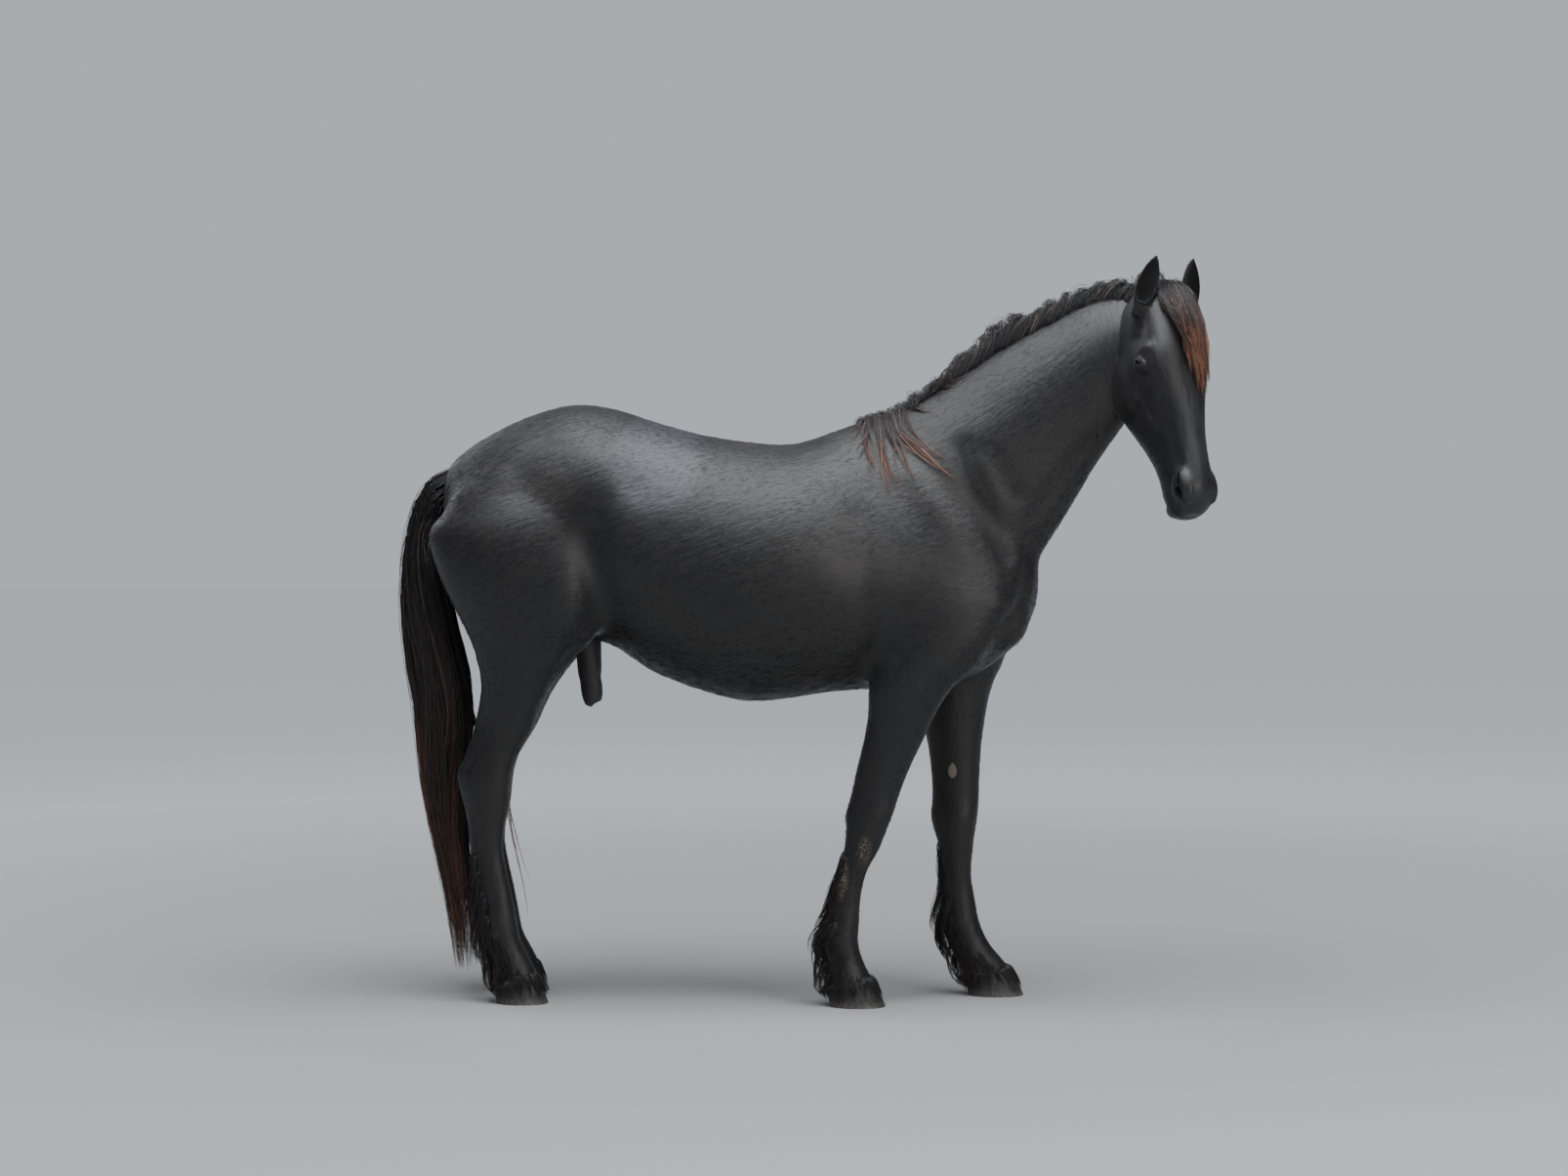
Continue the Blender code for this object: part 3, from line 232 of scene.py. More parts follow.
foreLegAhead = (
    (1.120, 0.380, 0.640, 0.130, 0.085, 0.0),
    (1.020, 0.370, 0.640, 0.140, 0.085, 0.0),
    (0.930, 0.370, 0.605, 0.146, 0.078, 0.0),
    (0.865, 0.370, 0.575, 0.146, 0.072, 0.0),
    (0.764, 0.376, 0.553, 0.140, 0.060, 0.05),
    (0.683, 0.392, 0.543, 0.135, 0.052, 0.10),
    (0.612, 0.400, 0.539, 0.131, 0.047, 0.10),
    (0.540, 0.402, 0.537, 0.129, 0.046, 0.10),
    (0.500, 0.398, 0.534, 0.128, 0.048, 0.25),
    (0.450, 0.410, 0.526, 0.128, 0.046, 0.20),
    (0.403, 0.424, 0.521, 0.128, 0.040, 0.15),
    (0.335, 0.430, 0.516, 0.128, 0.033, 0.10),
    (0.267, 0.430, 0.527, 0.128, 0.034, 0.05),
    (0.196, 0.428, 0.541, 0.128, 0.040, 0.05),
    (0.142, 0.446, 0.568, 0.128, 0.039, 0.0),
    (0.098, 0.470, 0.604, 0.128, 0.044, 0.0),
    (0.060, 0.486, 0.632, 0.128, 0.050, 0.0),
    (0.030, 0.488, 0.640, 0.128, 0.052, 0.0),
)
hindLeg = (
    (1.500, -0.790, -0.570, 0.080, 0.045, 0.0),
    (1.450, -0.860, -0.500, 0.098, 0.075, 0.0),
    (1.400, -0.905, -0.455, 0.116, 0.098, 0.0),
    (1.350, -0.925, -0.432, 0.130, 0.112, 0.0),
    (1.300, buttockX, -0.420, 0.140, 0.120, 0.0),
    (1.200, -0.948, -0.435, 0.150, 0.125, 0.0),
    (1.100, -0.905, -0.465, 0.152, 0.118, 0.05),
    (1.010, -0.860, -0.510, 0.150, 0.105, 0.10),
    (0.947, -0.837, -0.560, 0.146, 0.092, 0.15),
    (0.907, -0.826, -0.598, 0.143, 0.083, 0.20),
    (0.827, -0.833, -0.648, 0.138, 0.068, 0.35),
    (0.747, -0.853, -0.680, 0.133, 0.055, 0.45),
    (0.667, -0.885, -0.725, 0.129, 0.048, 0.50),
    (0.627, -0.894, -0.736, 0.128, 0.048, 0.45),
    (0.587, -0.887, -0.741, 0.127, 0.048, 0.35),
    (0.537, -0.874, -0.745, 0.126, 0.045, 0.25),
    (0.481, -0.863, -0.758, 0.126, 0.038, 0.15),
    (0.428, -0.857, -0.762, 0.126, 0.033, 0.10),
    (0.353, -0.846, -0.750, 0.127, 0.032, 0.05),
    (0.281, -0.838, -0.734, 0.128, 0.034, 0.05),
    (0.215, -0.834, -0.722, 0.128, 0.041, 0.05),
    (0.165, -0.822, -0.712, 0.128, 0.040, 0.0),
    (0.125, -0.805, -0.690, 0.128, 0.039, 0.0),
    (0.085, -0.792, -0.670, 0.128, 0.046, 0.0),
    (0.060, -0.792, -0.662, 0.128, 0.049, 0.0),
    (0.030, -0.790, -0.655, 0.128, 0.051, 0.0),
)
# Muscles on the right side, mirrored to the left: centre, radii, yaw, pitch, roll.
muscleForms = {
    "shoulderBlade": ((0.405, -0.135, 1.290), (0.250, 0.062, 0.110), -14, 122, 0),
    "shoulderPoint": ((0.560, -0.140, 1.110), (0.090, 0.066, 0.080), 0, 120, 0),
    "upperArm": ((0.405, -0.168, 1.065), (0.180, 0.062, 0.100), 0, 32, 0),
    "forearmRoot": ((0.360, -0.158, 0.960), (0.130, 0.062, 0.080), 0, 75, 0),
    "breast": ((0.590, -0.068, 1.060), (0.100, 0.068, 0.090), 0, 80, 0),
    "loin": ((-0.300, -0.080, 1.490), (0.300, 0.085, 0.062), 0, -6, 0),
    "hip": ((-0.460, -0.172, 1.455), (0.120, 0.066, 0.085), 0, 70, 0),
    "croup": ((-0.640, -0.115, 1.480), (0.230, 0.120, 0.130), 6, 15, 0),
    "haunch": ((-0.770, -0.165, 1.290), (0.250, 0.095, 0.140), 0, 75, 0),
    "thigh": ((-0.640, -0.175, 1.130), (0.200, 0.088, 0.150), 0, 60, 0),
    "stifle": ((-0.575, -0.160, 1.040), (0.120, 0.082, 0.095), 0, 60, 0),
}

# Skull: distance below the poll, front, rear, where it is widest, half width, roundness in front and behind.
skullRings = (
    (-0.015, 0.060, 0.150, 0.105, 0.036, 2.0, 2.0),
    (0.010, 0.028, 0.190, 0.100, 0.060, 2.1, 2.0),
    (0.045, 0.010, 0.220, 0.100, 0.076, 2.2, 2.1),
    (0.090, -0.003, 0.250, 0.100, 0.083, 2.4, 2.3),
    (0.150, -0.010, 0.278, 0.092, 0.088, 2.7, 2.6),
    (0.215, -0.009, 0.296, 0.085, 0.094, 2.9, 2.8),
    (0.260, -0.005, 0.299, 0.085, 0.091, 2.8, 2.9),
    (0.310, 0.000, 0.289, 0.085, 0.080, 2.6, 2.8),
    (0.370, 0.004, 0.257, 0.088, 0.068, 2.5, 2.6),
    (0.430, 0.007, 0.222, 0.090, 0.058, 2.4, 2.5),
    (0.490, 0.008, 0.194, 0.090, 0.053, 2.4, 2.4),
    (0.540, 0.009, 0.180, 0.085, 0.054, 2.4, 2.4),
    (0.585, 0.013, 0.173, 0.082, 0.058, 2.4, 2.4),
    (0.615, 0.026, 0.165, 0.090, 0.050, 2.3, 2.3),
    (0.637, 0.052, 0.148, 0.097, 0.037, 2.2, 2.2),
    (headLength, 0.068, 0.128, 0.097, 0.026, 2.0, 2.0),
)
# Forms of the right side of the head: down, back, left, radii down, back and across, tilt in degrees.
faceForms = {
    "cheek": ((0.235, 0.185, -0.058), (0.100, 0.088, 0.040), -15),
    "brow": ((0.186, 0.058, -0.074), (0.038, 0.026, 0.020), -35),
    "orbit": ((0.214, 0.080, -0.080), (0.048, 0.042, 0.0225), 0),
    "cheekbone": ((0.325, 0.134, -0.055), (0.105, 0.022, 0.019), -29),
    "nostrilRim": ((0.566, 0.056, -0.040), (0.060, 0.036, 0.0180), -12),
    "upperLip": ((0.612, 0.082, -0.024), (0.026, 0.032, 0.028), 0),
    "chin": ((0.606, 0.150, -0.014), (0.026, 0.024, 0.024), 0),
    "earRoot": ((0.052, 0.068, -0.066), (0.040, 0.036, 0.026), 0),
}
# Ears: share of the length, half width across the opening, half depth, how far the middle leans forward.
earRings = (
    (-0.24, 0.019, 0.021, -0.006),
    (0.00, 0.023, 0.024, -0.001),
    (0.18, 0.0285, 0.025, 0.001),
    (0.38, earHalfWidth, 0.023, 0.001),
    (0.58, 0.027, 0.019, -0.002),
    (0.76, 0.020, 0.014, -0.004),
    (0.90, 0.011, 0.008, -0.004),
    (1.00, 0.002, 0.002, -0.001),
)


def uprightRing(x, top, bottom, half, widest, roundUp, roundDown):
    ring = []
    for i in range(ringPoints):
        t = 2 * math.pi * i / ringPoints
        up = math.cos(t) > 0
        exponent = roundUp if up else roundDown
        reach = top - widest if up else widest - bottom
        ring.append(
            (x, half * bentPower(math.sin(t), exponent), widest + reach * bentPower(math.cos(t), exponent))
        )
    return ring


def levelRing(z, rear, front, middleY, half, narrowRear):
    ring = []
    middle, reach = (rear + front) / 2, (front - rear) / 2
    for i in range(ringPoints):
        t = 2 * math.pi * i / ringPoints
        width = half * math.sin(t) * (1 + narrowRear * math.cos(t))
        ring.append((middle + reach * math.cos(t), middleY + width, z))
    return ring


def neckRing(x, y, z, yaw, pitch, crest, throat, half):
    yaw, pitch = math.radians(yaw), math.radians(pitch)
    across = Vector((-math.sin(yaw), math.cos(yaw), 0))
    ahead = Vector((math.cos(pitch) * math.cos(yaw), math.cos(pitch) * math.sin(yaw), math.sin(pitch)))
    upward = ahead.cross(across)
    ring = []
    for i in range(ringPoints):
        t = 2 * math.pi * i / ringPoints
        reach = crest if math.cos(t) > 0 else throat
        narrow = 1 - 0.38 * max(math.cos(t), 0) ** 2
        point = Vector((x, y, z)) + across * (half * math.sin(t) * narrow)
        ring.append(point + upward * (reach * math.cos(t)))
    return ring


fartherHindBack = 0.030


def legMesh(stations, side, moveBack=0.0, lowest=0.0, highest=2.0):
    rows = []
    for height, rear, front, middle, half, narrow in stations:
        if not lowest <= height <= highest:
            continue
        moved = -moveBack * min(1, max(0, (1.2 - height) / 0.6))
        rows.append((height, rear + moved, front + moved, side * middle, half, narrow))
    return loftMesh("leg", [levelRing(*row) for row in smoothRows(rows, 60)])


# How far each muscle stands out of the plain body.
standOut = {
    "shoulderBlade": 0.014, "shoulderPoint": 0.013, "upperArm": 0.013, "forearmRoot": 0.008, "breast": 0.024,
    "loin": 0.003,
    "hip": 0.006, "croup": 0.006, "haunch": 0.012, "thigh": 0.012, "stifle": 0.012,
}


def muscleMeshes(base):
    # each ellipsoid is sunk into the plain body until it stands out by its own amount
    made = []
    for name, (centre, radii, yaw, pitch, roll) in muscleForms.items():
        for side in (1, -1):
            turn = (
                Matrix.Rotation(math.radians(yaw * side), 4, "Z")
                @ Matrix.Rotation(-math.radians(pitch), 4, "Y")
                @ Matrix.Rotation(math.radians(roll * side), 4, "X")
            )
            place = Matrix.Translation((centre[0], centre[1] * side, centre[2]))
            mesh = sphereMesh("muscle", place @ turn @ Matrix.Diagonal((*radii, 1)))
            most, way = -1, None
            for vertex in mesh.vertices:
                hit, normal, _, _ = base.find_nearest(vertex.co)
                above = (vertex.co - hit).dot(normal)
                if above > most:
                    most, way = above, normal
            mesh.transform(Matrix.Translation(way * (standOut[name] - most)))
            made.append(mesh)
    return made


# The head hangs from the poll. Inside it x points out of the face, y to its left and z up.
headTurn = {"poll": (1.061, -0.170, 1.977), "yaw": -56, "pitch": 20, "roll": -2.7}
headFrame = (
    Matrix.Translation(headTurn["poll"])
    @ Matrix.Rotation(math.radians(headTurn["yaw"]), 4, "Z")
    @ Matrix.Rotation(-math.radians(headTurn["pitch"]), 4, "Y")
    @ Matrix.Rotation(math.radians(headTurn["roll"]), 4, "X")
)
headAxes = np.array(headFrame.to_3x3())
headStart = np.array(headFrame.translation)


def onHead(down, rear, left):
    # so far below the poll along the face, behind the line of the face and left of its middle
    return headFrame @ Vector((-rear, left, -down))


def headCoords(points):
    # the inverse of onHead for many points: down, rear, left
    local = (points - headStart) @ headAxes
    return np.stack([-local[:, 2], -local[:, 0], local[:, 1]], axis=1)


def headMesh():
    rings = []
    for down, front, rear, widest, half, ahead, behind in smoothRows(skullRings, 50):
        ring = []
        for i in range(ringPoints):
            t = 2 * math.pi * i / ringPoints
            exponent = ahead if math.cos(t) > 0 else behind
            reach = widest - front if math.cos(t) > 0 else rear - widest
            out = reach * bentPower(math.cos(t), exponent)
            ring.append(onHead(down, widest - out, half * bentPower(math.sin(t), exponent)))
        rings.append(ring)
    return loftMesh("skull", rings)


def headForm(place, radii, tilt, side, around=32, bands=20):
    down, rear, left = place
    turn = Matrix.Rotation(math.radians(tilt), 4, "Y")
    size = Matrix.Diagonal((radii[1], radii[2], radii[0], 1))
    return sphereMesh(
        "form", headFrame @ Matrix.Translation((-rear, -left * side, -down)) @ turn @ size, around, bands
    )


def frameAt(origin, normal, across):
    z = Vector(normal).normalized()
    x = Vector(across).cross(z).normalized()
    turn = Matrix((x, z.cross(x), z)).transposed().to_4x4()
    return Matrix.Translation(origin) @ turn


ear = {"length": 0.142, "wall": 0.0036, "points": 28, "rings": 26}
earAxis = {side: headFrame.to_3x3() @ Vector((0.105, -0.022 * side, 0.135)).normalized() for side in (1, -1)}


def earFrame(side):
    # origin at the root of the ear, z along it and x out of its opening
    opening = headFrame.to_3x3() @ Vector((0.80, -0.60 if side < 0 else 0.10, -0.45))
    return frameAt(onHead(0.056, 0.060, 0.078 * side), earAxis[side], earAxis[side].cross(opening))


def earMesh(side, cup=False):
    place = earFrame(side)
    rings = []
    for share, half, depth, forward in smoothRows(earRings, ear["rings"]):
        if cup:
            if share < 0.02:
                continue
            open = min(1, 0.25 + (share - 0.02) / 0.22) ** 0.7
            half = max((half - ear["wall"] * 0.9) * open, 0.0012)
            depth = max(depth - ear["wall"] * 0.6, 0.0012)
            forward = forward + 0.0125 + 0.010 * (1 - open)
            share = 0.03 + (share - 0.02) * 1.02
        ring = []
        for i in range(ear["points"]):
            t = 2 * math.pi * i / ear["points"]
            along = Vector((forward + depth * math.cos(t), half * math.sin(t), share * ear["length"]))
            ring.append(place @ along)
        rings.append(ring)
    return loftMesh("ear", rings)


# Grooves pressed into the skin of the right side and mirrored: points (x, half width, height), width, depth.
skinGrooves = {
    "shoulderFront": (
        (
            (0.490, 0.11, 1.520),
            (0.505, 0.12, 1.470),
            (0.527, 0.13, 1.410),
            (0.560, 0.14, 1.344),
            (0.596, 0.14, 1.274),
            (0.615, 0.13, 1.230),
        ),
        0.022,
        0.008,
    ),
    "neckRoot": (((0.551, 0.11, 1.511), (0.594, 0.11, 1.463), (0.640, 0.11, 1.400)), 0.020, 0.004),
    "elbowHollow": (((0.295, 0.22, 0.985), (0.312, 0.22, 0.970)), 0.024, 0.005),
    "breastSide": (
        (
            (0.690, 0.07, 1.270),
            (0.665, 0.09, 1.180),
            (0.640, 0.11, 1.100),
            (0.600, 0.13, 1.040),
            (0.485, 0.16, 0.945),
        ),
        0.018,
        0.010,
    ),
    "behindShoulder": (((0.215, 0.22, 1.330), (0.225, 0.24, 1.180), (0.240, 0.23, 1.060)), 0.034, 0.006),
    "elbowRear": (((0.250, 0.20, 1.020), (0.238, 0.19, 0.950), (0.236, 0.17, 0.900)), 0.020, 0.010),
    "flankFold": (
        (
            (-0.510, 0.25, 1.280),
            (-0.490, 0.26, 1.180),
            (-0.487, 0.24, 1.090),
            (-0.515, 0.21, 1.000),
            (-0.560, 0.18, 0.940),
        ),
        0.030,
        0.013,
    ),
    "flankHollow": (((-0.420, 0.24, 1.420), (-0.455, 0.25, 1.330)), 0.050, 0.008),
    "hamstring": (
        ((-0.880, 0.14, 1.240), (-0.858, 0.17, 1.160), (-0.828, 0.19, 1.090), (-0.775, 0.20, 0.990)),
        0.024,
        0.008,
    ),
    "thighFront": (((-0.700, 0.20, 1.120), (-0.660, 0.22, 1.040), (-0.640, 0.20, 0.980)), 0.022, 0.005),
    "gaskin": (
        ((-0.800, 0.15, 0.860), (-0.815, 0.15, 0.790), (-0.842, 0.15, 0.720), (-0.862, 0.14, 0.670)),
        0.016,
        0.010,
    ),
    "gaskinInside": (
        ((-0.800, 0.10, 0.860), (-0.815, 0.10, 0.790), (-0.842, 0.11, 0.720), (-0.862, 0.11, 0.670)),
        0.016,
        0.009,
    ),
    "jugular": (
        ((0.960, 0.06, 1.640), (0.860, 0.08, 1.560), (0.760, 0.10, 1.440), (0.690, 0.10, 1.340)),
        0.022,
        0.006,
    ),
    "forearmFront": (((0.430, 0.20, 0.900), (0.395, 0.19, 0.800), (0.350, 0.18, 0.690)), 0.014, 0.004),
}
# Grooves that only the near and the far legs have, because each leg stands its own way: x, y, height.
legGrooves = {
    "nearCannonOut": (
        ((0.188, -0.17, 0.440), (0.176, -0.165, 0.360), (0.158, -0.165, 0.280), (0.150, -0.165, 0.230)),
        0.007,
        0.0045,
    ),
    "nearCannonIn": (
        ((0.188, -0.09, 0.440), (0.176, -0.09, 0.360), (0.158, -0.09, 0.280), (0.150, -0.09, 0.230)),
        0.007,
        0.0045,
    ),
    "farCannonOut": (
        ((0.446, 0.17, 0.400), (0.452, 0.165, 0.330), (0.456, 0.165, 0.260), (0.460, 0.165, 0.210)),
        0.007,
        0.0045,
    ),
    "farCannonIn": (
        ((0.446, 0.09, 0.400), (0.452, 0.09, 0.330), (0.456, 0.09, 0.260), (0.460, 0.09, 0.210)),
        0.007,
        0.0045,
    ),
    "nearShinOut": (
        ((-0.840, -0.165, 0.520), (-0.830, -0.16, 0.420), (-0.818, -0.16, 0.320), (-0.808, -0.16, 0.240)),
        0.007,
        0.005,
    ),
    "nearShinIn": (
        ((-0.840, -0.09, 0.520), (-0.830, -0.09, 0.420), (-0.818, -0.09, 0.320), (-0.808, -0.09, 0.240)),
        0.007,
        0.005,
    ),
    "farShinOut": (
        ((-0.870, 0.165, 0.520), (-0.860, 0.16, 0.420), (-0.848, 0.16, 0.320), (-0.838, 0.16, 0.240)),
        0.007,
        0.005,
    ),
    "farShinIn": (
        ((-0.870, 0.09, 0.520), (-0.860, 0.09, 0.420), (-0.848, 0.09, 0.320), (-0.838, 0.09, 0.240)),
        0.007,
        0.005,
    ),
}
# Ridges raised out of the skin the same way: the hip point and the point of the shoulder.
skinRidges = {
    "hipPoint": (((-0.470, 0.225, 1.470), (-0.462, 0.235, 1.440)), 0.030, 0.005),
    "shoulderPoint": (((0.560, 0.19, 1.130), (0.575, 0.18, 1.090)), 0.035, 0.004),
}
# The same on the head, as down, rear, left.
headGrooves = {
    "overEye": (((0.118, 0.080, -0.085), (0.138, 0.090, -0.088)), 0.016, 0.010),
    "lidFold": (((0.196, 0.094, -0.100), (0.199, 0.070, -0.103), (0.218, 0.056, -0.098)), 0.0055, 0.0035),
    "underEye": (((0.236, 0.100, -0.098), (0.248, 0.086, -0.094), (0.256, 0.070, -0.085)), 0.008, 0.0035),
    "cheekFront": (((0.270, 0.100, -0.090), (0.330, 0.175, -0.085), (0.340, 0.240, -0.075)), 0.014, 0.004),
    "noseSide": (((0.330, 0.050, -0.066), (0.430, 0.048, -0.058), (0.510, 0.050, -0.056)), 0.016, 0.004),
    "behindNostril": (
        ((0.540, 0.090, -0.055), (0.575, 0.100, -0.056), (0.600, 0.095, -0.050)),
        0.009,
        0.0035,
    ),
    "chinTop": (((0.590, 0.150, -0.034), (0.600, 0.165, -0.020)), 0.008, 0.003),
    "jawEdge": (((0.200, 0.245, -0.085), (0.260, 0.272, -0.078), (0.310, 0.268, -0.068)), 0.010, -0.002),
}
headRidges = {
    "crest": (((0.290, 0.142, -0.090), (0.340, 0.128, -0.080), (0.400, 0.110, -0.066)), 0.009, 0.004),
    "brow": (((0.178, 0.062, -0.092), (0.186, 0.046, -0.084)), 0.011, 0.005),
    "upperLid": (((0.203, 0.095, -0.100), (0.206, 0.074, -0.104), (0.222, 0.061, -0.099)), 0.0070, 0.0022),
    "lowerLid": (((0.214, 0.100, -0.099), (0.228, 0.086, -0.103), (0.233, 0.068, -0.099)), 0.0055, 0.0018),
    "nostrilEdge": (((0.552, 0.072, -0.058), (0.585, 0.078, -0.060), (0.612, 0.072, -0.052)), 0.006, 0.0035),
    "nostrilFront": (((0.545, 0.044, -0.054), (0.580, 0.040, -0.052), (0.608, 0.050, -0.046)), 0.006, 0.003),
    "lowerLip": (((0.610, 0.145, -0.034), (0.622, 0.130, -0.026)), 0.007, 0.002),
}


def nearPolyline(points, line):
    # squared distance of every point to a polyline
    best = np.full(len(points), 1e9)
    for start, end in zip(line, line[1:]):
        start, end = np.array(start), np.array(end)
        way = end - start
        t = np.clip(((points - start) @ way) / (way @ way), 0, 1)
        gap = points - start - t[:, None] * way
        best = np.minimum(best, (gap * gap).sum(axis=1))
    return best


def smoothLine(line):
    return [tuple(row) for row in smoothRows(line, 4 * len(line))] if len(line) > 2 else line


def pressLines(points, normals, grooves, sign, mirrored):
    # moves the points near each line along their normals
    moved = np.zeros(len(points))
    for line, width, depth in grooves.values():
        for side in ((-1, 1) if mirrored else (0,)):
            drawn = [(x, y * side if side else y, z) for x, y, z in smoothLine(line)]
            moved += sign * depth * np.exp(-nearPolyline(points, drawn) / (2 * width * width))
    return points + normals * moved[:, None]


def smoothStep(low, high, value):
    t = np.clip((value - low) / (high - low), 0, 1)
    return t * t * (3 - 2 * t)


skin = {
    "trunkVoxel": 0.009,
    "trunkRounds": 42,
    "legsBlendTo": 0.80,
    "legsBlendFrom": 0.96,
    "bodyVoxel": 0.005,
    "bodyRounds": 34,
    "headVoxel": 0.0035,
    "headRounds": 20,
    "voxel": 0.0036,
    "faces": 178_000,
    "coatDepth": 0.0012,
}
eye = {
    "down": 0.216,
    "rear": 0.080,
    "out": 0.0790,
    "radius": 0.0215,
    "slitHalf": 0.0225,
    "slitOpen": 0.0068,
    "tilt": 60,
}
nostrilCuts = {
    "round": ((0.594, 0.061, -0.056), (0.022, 0.014, 0.022), -10),
    "slit": ((0.562, 0.053, -0.060), (0.031, 0.0065, 0.017), 14),
}
mouth = {"corner": (0.572, 0.128), "front": (0.665, 0.098), "apart": 0.0016}

# creases of the body that get painted shade, darker than the coat round them
creaseShade = {"shoulderFront": 0.75, "neckRoot": 0.55, "elbowHollow": 0.9, "elbowRear": 0.6, "flankFold": 0.6}


def sculptSkin(mesh):
    points, normals = pointsOf(mesh), normalsOf(mesh)
    points -= normals * skin["coatDepth"]
    isHead = smoothStep(-0.02, 0.03, headCoords(points)[:, 0]) * (points[:, 2] > 1.30) * (points[:, 0] > 0.86)
    body = pressLines(points, normals, skinGrooves, -1, True)
    body = pressLines(body, normals, legGrooves, -1, False)
    body = pressLines(body, normals, skinRidges, 1, True)
    local = headCoords(points)
    localNormals = headCoords(points + normals) - local
    face = pressLines(local, localNormals, headGrooves, -1, False) - local
    farGrooves = {name: mirrorLine(line) for name, line in headGrooves.items()}
    face += pressLines(local, localNormals, farGrooves, -1, False) - local
    face += pressLines(local, localNormals, headRidges, 1, False) - local
    farRidges = {name: mirrorLine(line) for name, line in headRidges.items()}
    face += pressLines(local, localNormals, farRidges, 1, False) - local
    # back from down, rear, left to the horse's own frame
    turned = np.stack([-face[:, 1], face[:, 2], -face[:, 0]], axis=1) @ headAxes.T
    points = body * (1 - isHead[:, None]) + points * isHead[:, None] + turned * isHead[:, None]
    mesh.vertices.foreach_set("co", points.astype(np.float32).ravel())
    mesh.update()


def mirrorLine(form):
    line, width, depth = form
    return tuple((down, rear, -left) for down, rear, left in line), width, depth


def eyePlace(side):
    return onHead(eye["down"], eye["rear"], eye["out"] * side)


def mouthWedge():
    corner, front, apart = mouth["corner"], mouth["front"], mouth["apart"]
    rings = []
    for across in (-0.09, 0.09):
        rings.append(
            [
                onHead(corner[0], corner[1], across),
                onHead(front[0] - apart, front[1] - apart, across),
                onHead(front[0] + apart, front[1] + apart, across),
            ]
        )
    return loftMesh("mouth", rings)


def carveHead(obj):
    for side in (1, -1):
        cutOrAdd(obj, earMesh(side, cup=True), "DIFFERENCE")
        place = (eye["down"] + 0.001, eye["rear"], eye["out"] + 0.030)
        slit = headForm(place, (eye["slitHalf"], eye["slitOpen"], 0.030), -eye["tilt"], -side)
        cutOrAdd(obj, slit, "DIFFERENCE")
        socket = Matrix.Translation(eyePlace(side)) @ Matrix.Diagonal((*(eye["radius"] + 0.0006,) * 3, 1))
        cutOrAdd(obj, sphereMesh("socket", socket, 32, 20), "DIFFERENCE")
        for spot, radii, tilt in nostrilCuts.values():
            cutOrAdd(obj, headForm(spot, radii, tilt, side), "DIFFERENCE")
    cutOrAdd(obj, mouthWedge(), "DIFFERENCE")


def blob(points, x, z, wide, high, power=2.0):
    # 1 in the middle of an ellipse in the side view, falling to 0 at its edge
    far = np.abs((points[:, 0] - x) / wide) ** power + np.abs((points[:, 2] - z) / high) ** power
    return smoothStep(1.25, 0.55, far)


